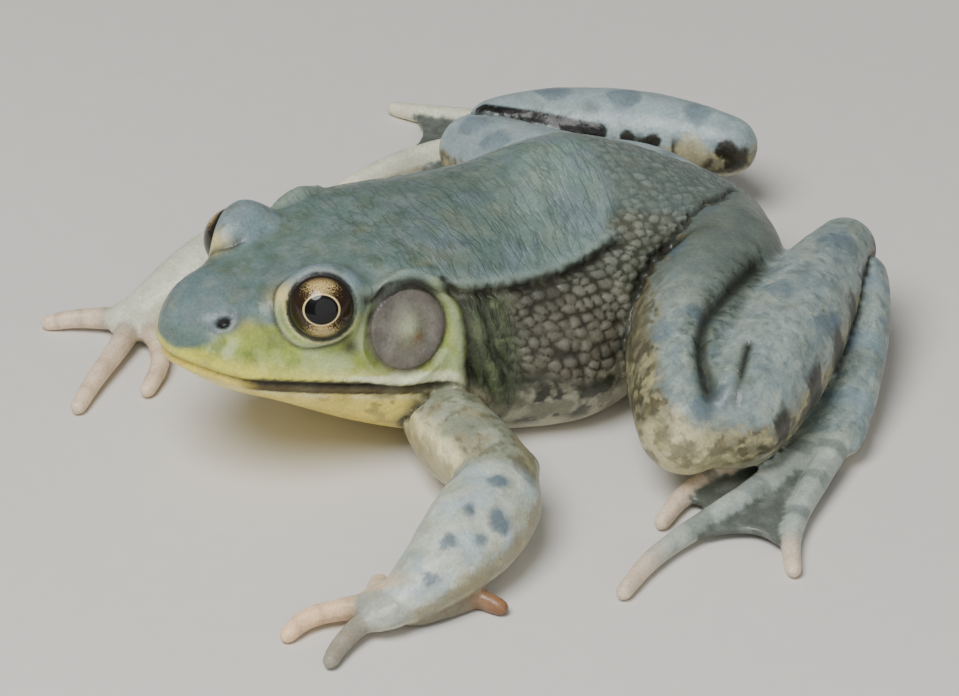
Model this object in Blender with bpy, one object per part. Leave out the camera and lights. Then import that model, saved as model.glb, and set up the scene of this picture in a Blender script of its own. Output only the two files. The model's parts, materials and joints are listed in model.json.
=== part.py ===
"""A green frog, a full-grown male at life size, crouching on level ground with its head turned a
little to its left, its right side drawn up and its left arm and left foot reaching forwards.

Objects are in metres. The frog faces -Y and its left side is +X. Places in the tables are in
millimetres, with x to the frog's left, y backwards from the snout's tip and z up from the ground,
until hang_together() moves the finished frog so that the middle of its footprint is the origin.
"""

import math

import bmesh
import bpy
import numpy as np
from mathutils import Matrix, Vector

MM = 0.001
WELD = 2e-6
LEFT, RIGHT = 1, -1

# Driving dimensions, in millimetres and degrees.
BODY_LENGTH = 90.0
MIDLINE = -1.2
SKIN_GAP = 0.3

NECK_AT = 34.0
HEAD_PIVOT_AT = 38.0
HEAD_TURN = 3.5
TURN_BLEND = (24.0, 46.0)

EYE_CENTRE = (9.75, 16.9, 24.7)
EYE_RADIUS = 4.35
BROW_RADII = (5.1, 6.2, 5.2)
LID_RIM_AT = 1.3
GAZE_TURN = 59.0
# The left eye looks up and the other one level, as when a frog watches something beside it.
GAZE_LIFT = {LEFT: 22.0, RIGHT: 0.0}

EARDRUM_CENTRE = (15.0, 26.5, 20.3)
EARDRUM_FACING = (0.96, -0.10, 0.26)
NOSTRIL_CENTRE = (5.62, 5.4, 24.0)
NOSTRIL_FACING = (0.60, -0.35, 0.72)

MOUTH_FRONT_HEIGHT = 18.4
MOUTH_FALL = 0.25
SNOUT_TIP_HEIGHT = 20.6
TAIL_END_HEIGHT = 10.4

# Upright sections of the head and trunk, as half-widths and heights. "Edge" is where the back
# turns down into the side, along the ridge that runs back from the eye, "side" is the widest
# place, and "low" is where the side turns under.
BODY_SECTIONS = (
    # at    back   edge        side        low         belly
    (0.3, 22.9, (1.6, 22.4), (2.4, 20.2), (1.5, 18.4), 18.0),
    (3.5, 24.9, (3.9, 24.2), (7.2, 18.6), (4.6, 15.9), 15.2),
    (12.0, 26.0, (6.4, 25.4), (11.6, 16.0), (8.4, 11.9), 10.6),
    (22.0, 26.5, (10.2, 26.0), (14.6, 14.0), (11.6, 6.8), 5.0),
    (32.0, 27.0, (12.9, 25.5), (16.6, 12.5), (13.8, 3.0), 1.2),
    (42.0, 27.0, (14.2, 22.9), (19.8, 11.0), (16.8, 1.8), -0.2),
    (50.0, 28.7, (13.9, 22.0), (22.2, 9.8), (18.8, 1.2), -0.4),
    (58.0, 30.9, (12.2, 22.6), (21.0, 9.8), (17.2, 1.4), -0.3),
    (67.0, 27.9, (10.2, 21.9), (17.6, 11.0), (13.2, 3.0), 0.6),
    (78.0, 21.4, (8.4, 18.0), (13.4, 11.8), (10.0, 5.2), 3.0),
    (87.0, 15.0, (4.6, 13.4), (6.6, 10.8), (4.8, 8.0), 6.8),
    (89.7, 12.2, (1.8, 11.6), (2.3, 10.4), (1.8, 9.3), 8.8),
)

# Limbs, each a smooth line of stations: x, y, z, half-width and half-height, or one radius
# where it is round. The first station lies inside the piece that carries it.
ARM_LEFT = {
    "upper_arm": (
        (10.0, 34.6, 5.6, 4.6, 4.8),
        (17.2, 31.2, 5.8, 5.5, 5.2),
        (24.2, 29.8, 7.5, 5.5, 5.6),
        (29.4, 29.6, 8.0, 5.2, 5.0),
        (33.2, 29.4, 7.8, 5.0, 4.6),
    ),
    "forearm": (
        (32.4, 30.8, 7.7, 4.2, 4.2),
        (35.2, 27.6, 7.0, 6.0, 5.4),
        (38.6, 22.8, 6.2, 6.5, 5.8),
        (41.5, 17.4, 5.4, 5.7, 4.7),
        (43.1, 12.4, 4.0, 4.2, 3.4),
        (43.6, 9.4, 3.2, 3.4, 2.7),
    ),
    "hand": (
        (43.6, 10.2, 3.2, 3.0, 2.4),
        (43.2, 8.0, 2.9, 3.8, 2.2),
        (42.6, 5.8, 2.4, 3.7, 1.9),
    ),
    "finger_1": (
        (41.4, 7.8, 2.3, 1.6),
        (39.0, 8.6, 1.9, 1.5),
        (36.6, 10.0, 1.3, 1.2),
    ),
    "finger_2": (
        (41.4, 6.8, 2.4, 1.6),
        (40.0, 3.4, 2.0, 1.25),
        (39.0, -0.2, 1.8, 1.15),
        (38.9, -2.4, 1.5, 1.15),
        (39.9, -4.4, 1.0, 0.95),
    ),
    "finger_3": (
        (43.4, 6.4, 2.4, 1.6),
        (43.8, 3.6, 2.0, 1.2),
        (45.1, 0.3, 1.6, 1.1),
        (47.3, -2.7, 1.0, 0.9),
    ),
    "finger_4": (
        (44.4, 7.6, 2.2, 1.4),
        (45.5, 12.2, 1.4, 1.15),
        (45.4, 16.6, 1.3, 1.15),
        (45.7, 19.6, 1.3, 1.15),
        (48.2, 20.2, 1.0, 0.95),
    ),
}
ARM_RIGHT = {
    "upper_arm": (
        (-11.0, 37.0, 9.6, 5.6, 6.0),
        (-18.5, 33.6, 9.8, 6.0, 6.4),
        (-25.0, 32.0, 9.2, 5.4, 5.4),
        (-30.6, 31.8, 8.2, 4.8, 4.8),
        (-34.0, 31.6, 7.6, 4.6, 4.4),
    ),
    "forearm": (
        (-33.6, 33.0, 7.4, 3.8, 3.8),
        (-34.2, 29.6, 6.8, 4.8, 4.6),
        (-33.9, 24.8, 6.0, 5.0, 4.8),
        (-33.2, 19.6, 4.9, 4.4, 4.0),
        (-33.1, 15.4, 3.6, 3.5, 3.0),
        (-33.0, 13.2, 3.1, 3.0, 2.4),
    ),
    "hand": (
        (-33.0, 14.0, 3.1, 2.9, 2.3),
        (-32.6, 12.2, 2.8, 3.6, 2.1),
        (-32.0, 10.6, 2.3, 3.6, 1.8),
    ),
    "finger_1": (
        (-31.4, 13.2, 2.3, 1.6),
        (-28.6, 15.4, 1.9, 1.5),
        (-26.4, 16.8, 1.5, 1.3),
        (-24.6, 17.4, 1.2, 1.1),
    ),
    "finger_2": (
        (-31.0, 12.0, 2.4, 1.6),
        (-26.4, 12.4, 2.0, 1.25),
        (-21.4, 10.0, 1.6, 1.15),
        (-18.0, 6.4, 1.0, 0.95),
    ),
    "finger_3": (
        (-31.4, 10.8, 2.4, 1.7),
        (-27.7, 7.1, 2.0, 1.35),
        (-23.4, 1.5, 1.6, 1.2),
        (-19.1, -3.1, 1.0, 0.95),
    ),
    "finger_4": (
        (-33.4, 11.2, 2.4, 1.6),
        (-35.9, 8.6, 2.0, 1.3),
        (-38.4, 5.4, 1.6, 1.15),
        (-40.0, 2.9, 1.0, 0.95),
    ),
}
LEG_LEFT = {
    "thigh": (
        (4.0, 82.0, 12.6, 5.4, 5.4),
        (10.0, 78.0, 13.2, 7.8, 7.6),
        (17.2, 71.2, 13.2, 8.9, 8.5),
        (25.0, 63.4, 12.6, 9.0, 8.6),
        (32.2, 57.0, 11.2, 7.9, 7.9),
        (37.2, 53.8, 10.2, 6.6, 6.9),
    ),
    "shank": (
        (37.6, 52.8, 9.6, 4.6, 5.0),
        (40.4, 56.0, 9.8, 6.4, 6.6),
        (37.4, 63.0, 11.0, 7.4, 7.6),
        (31.6, 71.2, 12.0, 7.7, 7.8),
        (25.0, 79.6, 12.4, 6.8, 7.0),
        (19.2, 87.2, 12.6, 5.3, 5.5),
        (15.6, 92.2, 12.4, 4.4, 4.6),
    ),
    "tarsus": (
        (15.4, 91.8, 11.6, 3.4, 3.6),
        (19.6, 92.0, 10.6, 3.6, 3.6),
        (27.2, 87.6, 8.2, 3.4, 3.4),
        (33.4, 82.0, 5.8, 3.5, 3.1),
        (37.8, 77.4, 4.2, 3.7, 2.8),
    ),
    "foot": (
        (36.8, 78.4, 4.5, 3.2, 2.6),
        (38.8, 75.6, 3.8, 4.2, 2.4),
        (40.4, 72.8, 3.1, 4.6, 2.1),
    ),
    "toe_1": (
        (36.6, 74.2, 2.4, 1.5),
        (32.8, 71.6, 1.9, 1.2),
        (29.8, 69.2, 1.5, 1.05),
        (27.8, 67.4, 1.0, 0.9),
    ),
    "toe_2": (
        (37.6, 72.4, 2.7, 1.6),
        (34.8, 66.6, 2.1, 1.35),
        (32.6, 61.0, 1.6, 1.15),
        (32.2, 57.0, 1.0, 0.95),
    ),
    "toe_3": (
        (39.2, 71.8, 2.9, 1.7),
        (38.8, 65.0, 2.4, 1.5),
        (38.4, 57.8, 1.9, 1.35),
        (39.6, 51.8, 1.5, 1.2),
        (42.9, 46.7, 1.0, 0.95),
    ),
    "toe_4": (
        (40.6, 71.4, 3.1, 2.0),
        (42.9, 65.1, 2.8, 1.8),
        (45.3, 58.2, 2.4, 1.65),
        (46.8, 51.0, 2.0, 1.45),
        (48.2, 43.8, 1.6, 1.2),
        (50.2, 39.0, 1.3, 1.15),
        (53.3, 34.6, 1.0, 0.95),
    ),
    "toe_5": (
        (42.2, 73.0, 3.2, 2.0),
        (46.2, 67.9, 2.7, 1.75),
        (50.4, 62.2, 2.1, 1.5),
        (54.0, 58.2, 1.6, 1.2),
        (60.0, 54.8, 1.0, 0.95),
    ),
}
LEG_RIGHT = {
    "thigh": (
        (-6.0, 82.0, 11.8, 5.4, 5.2),
        (-12.0, 79.2, 11.4, 7.4, 6.7),
        (-19.4, 75.6, 10.0, 7.8, 6.6),
        (-27.2, 72.2, 9.0, 7.4, 6.2),
        (-34.4, 69.6, 8.6, 6.6, 6.0),
        (-39.4, 68.8, 8.2, 5.5, 5.3),
    ),
    "shank": (
        (-38.6, 67.8, 8.4, 4.2, 4.4),
        (-41.4, 70.6, 8.0, 5.2, 5.3),
        (-40.4, 75.8, 8.4, 5.8, 5.9),
        (-35.2, 82.4, 9.4, 6.0, 6.1),
        (-28.4, 88.8, 10.1, 5.9, 6.1),
        (-22.4, 93.4, 10.7, 5.0, 5.2),
        (-18.4, 96.2, 10.8, 4.2, 4.4),
    ),
    "tarsus": (
        (-18.0, 96.6, 10.0, 3.4, 3.5),
        (-21.8, 97.8, 9.2, 3.5, 3.6),
        (-29.6, 96.0, 7.0, 3.2, 3.2),
        (-36.8, 92.6, 5.0, 3.3, 2.9),
        (-42.0, 89.2, 3.9, 3.5, 2.6),
    ),
    "foot": (
        (-41.4, 90.2, 4.0, 3.0, 2.4),
        (-44.0, 87.4, 3.6, 4.0, 2.3),
        (-45.8, 84.4, 3.0, 4.6, 2.1),
    ),
    "toe_1": (
        (-42.2, 86.0, 2.4, 1.4),
        (-38.6, 83.6, 1.8, 1.2),
        (-35.4, 81.2, 1.4, 1.05),
        (-33.2, 79.6, 1.0, 0.9),
    ),
    "toe_2": (
        (-43.4, 84.0, 2.5, 1.5),
        (-40.8, 79.0, 1.9, 1.25),
        (-38.8, 73.6, 1.5, 1.1),
        (-38.4, 69.6, 1.0, 0.95),
    ),
    "toe_3": (
        (-45.0, 83.4, 2.8, 1.7),
        (-44.8, 77.0, 2.4, 1.5),
        (-44.4, 70.0, 2.0, 1.35),
        (-44.4, 63.4, 1.6, 1.2),
        (-45.0, 57.4, 1.0, 0.95),
    ),
    "toe_4": (
        (-46.6, 83.2, 3.0, 2.0),
        (-48.6, 76.4, 2.8, 1.9),
        (-50.0, 69.0, 2.6, 1.9),
        (-50.8, 62.4, 2.3, 1.8),
        (-50.6, 56.2, 1.7, 1.4),
        (-49.8, 51.0, 1.0, 0.95),
    ),
    "toe_5": (
        (-48.0, 84.6, 3.1, 2.0),
        (-53.0, 80.4, 2.6, 1.7),
        (-58.6, 76.4, 2.1, 1.5),
        (-63.0, 73.4, 1.6, 1.25),
        (-67.3, 71.3, 1.0, 0.95),
    ),
}
SIDES = (("left", LEFT, ARM_LEFT, LEG_LEFT), ("right", RIGHT, ARM_RIGHT, LEG_RIGHT))
FINGERS = ("finger_3", "finger_2", "finger_4", "finger_1")
TOES = ("toe_4", "toe_5", "toe_3", "toe_2", "toe_1")
# How far the web reaches along each of its two toes, and how deeply its free edge is hollowed.
WEBS = {
    "web_1_2": (("toe_1", 0.80), ("toe_2", 0.66), 0.12),
    "web_2_3": (("toe_2", 0.80), ("toe_3", 0.66), 0.14),
    "web_3_4": (("toe_3", 0.84), ("toe_4", 0.62), 0.16),
    "web_4_5": (("toe_4", 0.72), ("toe_5", 0.86), 0.20),
}
WEB_THICKNESS = 0.8
WEB_SAG = 0.3
WEB_CLEARANCE = 0.1

# Profiles turned about an axis, as radius and height. The eardrum has a raised middle and sits
# in a round seat, and the lids are cut off level at their rim, a little outside the brow.
EARDRUM_RADIUS = 5.7
EARDRUM_DEPTH = 1.3
EARDRUM_PROFILE = (
    (EARDRUM_RADIUS, -EARDRUM_DEPTH),
    (EARDRUM_RADIUS, 0.0),
    (4.8, -0.1),
    (2.9, 0.05),
    (1.9, 0.5),
    (0.9, 0.75),
)
SEAT_PROFILE = (
    (EARDRUM_RADIUS + SKIN_GAP, -EARDRUM_DEPTH - SKIN_GAP),
    (EARDRUM_RADIUS + SKIN_GAP, 5.0),
)
LID_CUT_RADIUS = BROW_RADII[0] + 1.2
LID_CUT_PROFILE = ((LID_CUT_RADIUS, LID_RIM_AT), (LID_CUT_RADIUS, 9.0))
NOSTRIL_PROFILE = ((0.3, -0.7), (0.55, 2.0))

BODY_RINGS = 56
BODY_SIDES = 44
BODY_TRIANGLES = 1400
BODY_VOXEL = 0.7
BODY_SMOOTHING = 3
BALL_FINENESS = (12, 8)
BROW_FINENESS = (24, 16)
TURNED_SIDES = 12
NOSTRIL_SIDES = 8
# How far over the rings of a limb's round cap lean, in degrees.
CAP_LEANS = (32.0, 62.0)
WEB_STEPS = 5
WEB_ACROSS = 4
SHARP_ANGLE = 50.0
# How finely each kind of limb is made: rings along it and sides around it.
FINENESS = {
    "upper_arm": (5, 11),
    "forearm": (6, 11),
    "hand": (4, 10),
    "finger": (5, 6),
    "thigh": (6, 11),
    "shank": (7, 11),
    "tarsus": (6, 9),
    "foot": (4, 10),
    "toe": (6, 6),
}

# What carries each piece, and where the pieces that aren't limbs are joined to it.
CARRIERS = {
    "head": "trunk",
    "lower_jaw": "head",
    "eye": "head",
    "eardrum": "head",
    "upper_arm": "trunk",
    "forearm": "upper_arm",
    "hand": "forearm",
    "finger": "hand",
    "thigh": "trunk",
    "shank": "thigh",
    "tarsus": "shank",
    "foot": "tarsus",
    "toe": "foot",
    "web": "foot",
}
NECK_JOINT = (MIDLINE, NECK_AT, 18.0)
JAW_JOINT = (MIDLINE, 33.0, 10.5)

FINISHES = {
    # linear colour and roughness
    "back_skin": ((0.13, 0.19, 0.17), 0.42),
    "limb_skin": ((0.22, 0.27, 0.23), 0.42),
    "head_skin": ((0.20, 0.26, 0.14), 0.38),
    "throat_skin": ((0.62, 0.58, 0.28), 0.45),
    "digit_skin": ((0.46, 0.36, 0.25), 0.45),
    "web_skin": ((0.22, 0.22, 0.17), 0.40),
    "eyeball": ((0.10, 0.06, 0.02), 0.08),
    "eardrum_skin": ((0.20, 0.18, 0.14), 0.42),
}


def smooth_rows(rows, knots, at, ring=False):
    """Rows of numbers read off a smooth curve through the given rows, at the places asked for."""
    slopes = np.gradient(rows, knots, axis=0)
    if not ring:
        slopes[0] = (rows[1] - rows[0]) / (knots[1] - knots[0])
    span = np.clip(np.searchsorted(knots, at, side="right") - 1, 0, len(knots) - 2)
    width = (knots[span + 1] - knots[span])[:, None]
    t = (at - knots[span])[:, None] / width
    near, far = rows[span], rows[span + 1]
    leaving, arriving = width * slopes[span], width * slopes[span + 1]
    blend = (2 * t**3 - 3 * t**2 + 1) * near + (t**3 - 2 * t**2 + t) * leaving
    return blend + (-2 * t**3 + 3 * t**2) * far + (t**3 - t**2) * arriving


def along(points, count):
    """Rows spread evenly along a smooth line of stations."""
    rows = np.array([(*p, p[3]) if len(p) == 4 else p for p in points], float)
    steps = np.linalg.norm(np.diff(rows[:, :3], axis=0), axis=1)
    knots = np.concatenate([[0.0], np.cumsum(steps)])
    return smooth_rows(rows, knots, np.linspace(0.0, knots[-1], count))


def around(points, count):
    """Points spread evenly round a smooth closed outline."""
    corner = np.asarray(points, float)
    several = np.concatenate([corner[-3:], corner, corner[:4]])
    steps = np.sqrt(np.linalg.norm(np.diff(several, axis=0), axis=1))
    knots = np.concatenate([[0.0], np.cumsum(steps)])
    at = np.linspace(knots[3], knots[3 + len(corner)], count, endpoint=False)
    return smooth_rows(several, knots, at, ring=True)


def new_object(name, mesh):
    obj = bpy.data.objects.new(name, mesh)
    bpy.context.scene.collection.objects.link(obj)
    return obj


def filled(name, bm):
    """A new object from a bmesh, with its faces turned outwards."""
    bmesh.ops.recalc_face_normals(bm, faces=bm.faces)
    mesh = bpy.data.meshes.new(name)
    bm.to_mesh(mesh)
    bm.free()
    return new_object(name, mesh)


def loft(name, rings, first_tip, last_tip):
    """A closed body through rings of points, in millimetres, drawn to a tip at each end."""
    bm = bmesh.new()
    loops = [[bm.verts.new(Vector(point) * MM) for point in ring] for ring in rings]
    first = bm.verts.new(Vector(first_tip) * MM)
    last = bm.verts.new(Vector(last_tip) * MM)
    sides = len(loops[0])
    for i in range(sides):
        j = (i + 1) % sides
        for near, far in zip(loops, loops[1:]):
            bm.faces.new((near[i], near[j], far[j], far[i]))
        bm.faces.new((loops[0][j], loops[0][i], first))
        bm.faces.new((loops[-1][i], loops[-1][j], last))
    return filled(name, bm)


def body_loft(name):
    """The head and trunk in one, symmetrical about the midline."""
    sections = [(at, top, *edge, *side, *low, belly) for at, top, edge, side, low, belly in BODY_SECTIONS]
    rows = np.array(sections)
    knots = rows[:, 0]
    even = np.linspace(0.0, 1.0, BODY_RINGS)
    crowded_at_the_ends = (1 - np.cos(even * math.pi)) / 2
    at = knots[0] + (knots[-1] - knots[0]) * (0.65 * even + 0.35 * crowded_at_the_ends)
    loops = []
    for place, back, edge_x, edge_z, *sides, belly in smooth_rows(rows, knots, at):
        side_x, side_z, low_x, low_z = sides
        half = [(edge_x, edge_z), (side_x, side_z), (low_x, low_z)]
        outline = [(0.0, back), *half, (0.0, belly), *[(-x, z) for x, z in reversed(half)]]
        loops.append([(x + MIDLINE, place, z) for x, z in around(outline, BODY_SIDES)])
    return loft(name, loops, (MIDLINE, 0.0, SNOUT_TIP_HEIGHT), (MIDLINE, BODY_LENGTH, TAIL_END_HEIGHT))


def limb(name, stations, gap=0.0):
    """A limb along a smooth line of stations, with a round cap at each end, grown by the gap."""
    rings, sides = FINENESS[name.rsplit("_", 1)[0] if name[-1].isdigit() else name]
    rows = along(stations, rings)
    rows[:, 3:] += gap
    centres = rows[:, :3]
    tangents = np.gradient(centres, axis=0)
    tangents /= np.linalg.norm(tangents, axis=1)[:, None]
    angles = np.linspace(0, 2 * math.pi, sides, endpoint=False)

    def ring(centre, tangent, half_width, half_height):
        across = np.cross(tangent, (0.0, 0.0, 1.0))
        across /= np.linalg.norm(across)
        over = np.cross(across, tangent)
        wide = np.outer(np.cos(angles), across) * half_width
        high = np.outer(np.sin(angles), over) * half_height
        return centre + wide + high

    caps = [(math.cos(lean), math.sin(lean)) for lean in np.radians(CAP_LEANS)]
    start_reach, end_reach = rows[0, 3:].min(), rows[-1, 3:].min()
    loops = []
    for share, out in reversed(caps):
        middle = centres[0] - tangents[0] * start_reach * out
        loops.append(ring(middle, tangents[0], *(rows[0, 3:] * share)))
    for centre, tangent, row in zip(centres, tangents, rows):
        loops.append(ring(centre, tangent, *row[3:]))
    for share, out in caps:
        middle = centres[-1] + tangents[-1] * end_reach * out
        loops.append(ring(middle, tangents[-1], *(rows[-1, 3:] * share)))
    first_tip = centres[0] - tangents[0] * start_reach
    last_tip = centres[-1] + tangents[-1] * end_reach
    return loft(name, loops, first_tip, last_tip)


def web_sheet(name, inner, outer, hollow):
    """A thin sheet from one toe's middle line to another's, with a hollowed free edge."""
    steps, across, fine = WEB_STEPS, WEB_ACROSS, 60
    edges = [along(stations, fine)[: max(2, round(fine * reach))] for stations, reach in (inner, outer)]
    bm = bmesh.new()
    layers = []
    for lift in (WEB_THICKNESS / 2, -WEB_THICKNESS / 2):
        grid = []
        for step in range(steps + 1):
            row = []
            for column in range(across + 1):
                t = column / across
                sag = 4 * t * (1 - t)
                share = step / steps * (1 - hollow * sag)
                a, b = (edge[round(share * (len(edge) - 1))] for edge in edges)
                place = a * (1 - t) + b * t
                height = place[2] - WEB_SAG * sag * place[4]
                height = max(height, WEB_THICKNESS / 2 + WEB_CLEARANCE)
                row.append(bm.verts.new(Vector((place[0], place[1], height + lift)) * MM))
            grid.append(row)
        layers.append(grid)
    top, bottom = layers
    for i in range(steps):
        for j in range(across):
            bm.faces.new((top[i][j], top[i + 1][j], top[i + 1][j + 1], top[i][j + 1]))
            bm.faces.new((bottom[i][j + 1], bottom[i + 1][j + 1], bottom[i + 1][j], bottom[i][j]))
        for j in (0, across):
            bm.faces.new((top[i][j], bottom[i][j], bottom[i + 1][j], top[i + 1][j]))
    for j in range(across):
        for i in (0, steps):
            bm.faces.new((top[i][j], top[i][j + 1], bottom[i][j + 1], bottom[i][j]))
    return filled(name, bm)


def ball(name, centre, radii, fineness=BALL_FINENESS):
    bm = bmesh.new()
    bmesh.ops.create_uvsphere(bm, u_segments=fineness[0], v_segments=fineness[1], radius=1.0)
    size = Matrix.Diagonal((*[radius * MM for radius in radii], 1.0))
    bm.transform(Matrix.Translation(Vector(centre) * MM) @ size)
    return filled(name, bm)


def turned(name, centre, facing, profile, sides=TURNED_SIDES):
    """A solid of revolution about a direction, from its profile of radii and heights."""
    axis = np.array(facing) / np.linalg.norm(facing)
    across = np.cross(axis, (0.0, 0.0, 1.0))
    across /= np.linalg.norm(across)
    over = np.cross(axis, across)
    angles = np.linspace(0, 2 * math.pi, sides, endpoint=False)
    circle = np.outer(np.cos(angles), across) + np.outer(np.sin(angles), over)
    middle = np.array(centre)
    rings = [middle + circle * radius + axis * height for radius, height in profile]
    return loft(name, rings, middle + axis * profile[0][1], middle + axis * profile[-1][1])


def applied(obj):
    """Puts what the object's modifiers make into its own mesh."""
    bpy.context.view_layer.update()
    graph = bpy.context.evaluated_depsgraph_get()
    mesh = bpy.data.meshes.new_from_object(obj.evaluated_get(graph))
    obj.modifiers.clear()
    old = obj.data
    obj.data = mesh
    bpy.data.meshes.remove(old)
    return obj


def discard(*objects):
    for obj in objects:
        bpy.data.objects.remove(obj)


def grown_together(name, pieces):
    """The pieces under one skin, softened where they meet."""
    bm = bmesh.new()
    for piece in pieces:
        bm.from_mesh(piece.data)
    discard(*pieces)
    obj = filled(name, bm)
    remesh = obj.modifiers.new("one skin", "REMESH")
    remesh.mode = "VOXEL"
    remesh.voxel_size = BODY_VOXEL * MM
    soften = obj.modifiers.new("soften", "SMOOTH")
    soften.iterations = BODY_SMOOTHING
    applied(obj)
    obj.data.calc_loop_triangles()
    decimate = obj.modifiers.new("thin out", "DECIMATE")
    decimate.ratio = BODY_TRIANGLES / len(obj.data.loop_triangles)
    return applied(obj)


def copied(obj, name):
    return new_object(name, obj.data.copy())


def grown(obj):
    """A copy of the object with its surface moved outwards by the gap between neighbours."""
    copy = copied(obj, obj.name + " grown")
    bm = bmesh.new()
    bm.from_mesh(copy.data)
    bm.normal_update()
    for vert in bm.verts:
        vert.co += vert.normal * SKIN_GAP * MM
    bm.to_mesh(copy.data)
    bm.free()
    return copy


def largest_piece(obj):
    """Keeps only the biggest of the separate lumps in the object."""
    bm = bmesh.new()
    bm.from_mesh(obj.data)
    unseen = set(bm.verts)
    lumps = []
    while unseen:
        lump = {unseen.pop()}
        edge_of_lump = list(lump)
        while edge_of_lump:
            vert = edge_of_lump.pop()
            for edge in vert.link_edges:
                other = edge.other_vert(vert)
                if other in unseen:
                    unseen.discard(other)
                    lump.add(other)
                    edge_of_lump.append(other)
        lumps.append(lump)
    lumps.sort(key=len)
    for lump in lumps[:-1]:
        bmesh.ops.delete(bm, geom=list(lump), context="VERTS")
    bmesh.ops.remove_doubles(bm, verts=bm.verts, dist=WELD)
    bm.to_mesh(obj.data)
    bm.free()
    return obj


def cut(obj, *cutters):
    """Takes the cutters' space away from the object, and then the cutters themselves."""
    for cutter in cutters:
        modifier = obj.modifiers.new("cut", "BOOLEAN")
        modifier.operation = "DIFFERENCE"
        modifier.solver = "EXACT"
        modifier.object = cutter
        applied(obj)
        discard(cutter)
        largest_piece(obj)
    return obj


def kept_behind(obj, point, normal):
    """Slices the object with a plane and keeps what lies behind it."""
    bm = bmesh.new()
    bm.from_mesh(obj.data)
    everything = bm.verts[:] + bm.edges[:] + bm.faces[:]
    place, facing = Vector(point) * MM, Vector(normal)
    bmesh.ops.bisect_plane(
        bm, geom=everything, dist=1e-7, plane_co=place, plane_no=facing, clear_outer=True
    )
    rim = [edge for edge in bm.edges if edge.is_boundary]
    bmesh.ops.holes_fill(bm, edges=rim, sides=0)
    bmesh.ops.triangulate(bm, faces=[face for face in bm.faces if len(face.verts) > 4])
    bm.to_mesh(obj.data)
    bm.free()
    return obj


def standing(obj):
    """Gives the object's underside a small flat at ground level, if it reaches that low."""
    return kept_behind(obj, (0, 0, 0), (0, 0, -1))


def head_turn(place):
    """Where a place goes when the head is turned at the neck."""
    low, high = TURN_BLEND
    share = min(max((high - place[1]) / (high - low), 0.0), 1.0)
    angle = math.radians(HEAD_TURN) * share * share * (3 - 2 * share)
    pivot = Vector((MIDLINE, HEAD_PIVOT_AT, 0.0))
    return Matrix.Rotation(angle, 3, "Z") @ (Vector(place) - pivot) + pivot


def on_head(place, side):
    """A place given for the left of a straight head, on the side asked for of the turned head."""
    return head_turn((MIDLINE + side * place[0], place[1], place[2]))


def facing_on_head(direction, side):
    straight = Vector((side * direction[0], direction[1], direction[2]))
    return Matrix.Rotation(math.radians(HEAD_TURN), 3, "Z") @ straight


def gaze(side):
    """Where an eye looks, given for the left of a straight head."""
    turn, lift = math.radians(GAZE_TURN), math.radians(GAZE_LIFT[side])
    return (math.sin(turn) * math.cos(lift), -math.cos(turn) * math.cos(lift), math.sin(lift))


def make_body():
    """The head and trunk in one, with the brows over the eyes and the head turned."""
    pieces = [body_loft("body")]
    for side in (LEFT, RIGHT):
        brow_centre = (MIDLINE + side * EYE_CENTRE[0], EYE_CENTRE[1], EYE_CENTRE[2])
        pieces.append(ball("brow", brow_centre, BROW_RADII, BROW_FINENESS))
    body = grown_together("body", pieces)
    for vertex in body.data.vertices:
        vertex.co = head_turn(vertex.co / MM) * MM
    return body


def make_head_and_trunk(body):
    """The trunk, the head down to the mouth and the lower jaw with its throat, parted by thin cuts."""
    trunk, head = copied(body, "trunk"), copied(body, "head")
    kept_behind(trunk, (0, NECK_AT + SKIN_GAP / 2, 0), (0, -1, 0))
    kept_behind(head, (0, NECK_AT - SKIN_GAP / 2, 0), (0, 1, 0))
    for side in (LEFT, RIGHT):
        eye, outwards = on_head(EYE_CENTRE, side), facing_on_head(gaze(side), side)
        socket = ball("socket", eye, (EYE_RADIUS + SKIN_GAP,) * 3)
        opening = turned("opening", eye, outwards, LID_CUT_PROFILE)
        drum_at, drum_facing = on_head(EARDRUM_CENTRE, side), facing_on_head(EARDRUM_FACING, side)
        seat = turned("seat", drum_at, drum_facing, SEAT_PROFILE)
        nostril_at, nostril_facing = on_head(NOSTRIL_CENTRE, side), facing_on_head(NOSTRIL_FACING, side)
        nostril = turned("nostril", nostril_at, nostril_facing, NOSTRIL_PROFILE, NOSTRIL_SIDES)
        cut(head, opening, socket, seat, nostril)
    jaw = copied(head, "lower_jaw")
    upwards = Vector((0, MOUTH_FALL, 1)).normalized()
    mouth = Vector((0, 0, MOUTH_FRONT_HEIGHT))
    kept_behind(jaw, mouth - upwards * SKIN_GAP / 2, upwards)
    kept_behind(head, mouth + upwards * SKIN_GAP / 2, -upwards)
    return head, jaw, trunk


def make_eye(name, side):
    return ball(name, on_head(EYE_CENTRE, side), (EYE_RADIUS,) * 3)


def make_eardrum(name, side):
    place, facing = on_head(EARDRUM_CENTRE, side), facing_on_head(EARDRUM_FACING, side)
    return turned(name, place, facing, EARDRUM_PROFILE)


def make_limbs(side_name, stations, names, made, body):
    """Limbs in turn, each cut clear of the body and of all those made before it."""
    limbs = []
    for name in names:
        piece = limb(name, stations[name])
        piece.name = f"{name}_{side_name}"
        neighbours = [limb(other, stations[other], SKIN_GAP) for other in made]
        cut(piece, copied(body, "body again"), *neighbours)
        limbs.append(piece)
        made.append(name)
    return limbs


def make_webs(side_name, stations):
    """The webs, each cut clear of the foot and of the two toes that it joins."""
    webs = []
    for name, (inner, outer, hollow) in WEBS.items():
        first, second = (stations[inner[0]], inner[1]), (stations[outer[0]], outer[1])
        web = web_sheet(f"{name}_{side_name}", first, second, hollow)
        neighbours = ("foot", inner[0], outer[0])
        webs.append(cut(web, *[limb(other, stations[other], SKIN_GAP) for other in neighbours]))
    return webs


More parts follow.
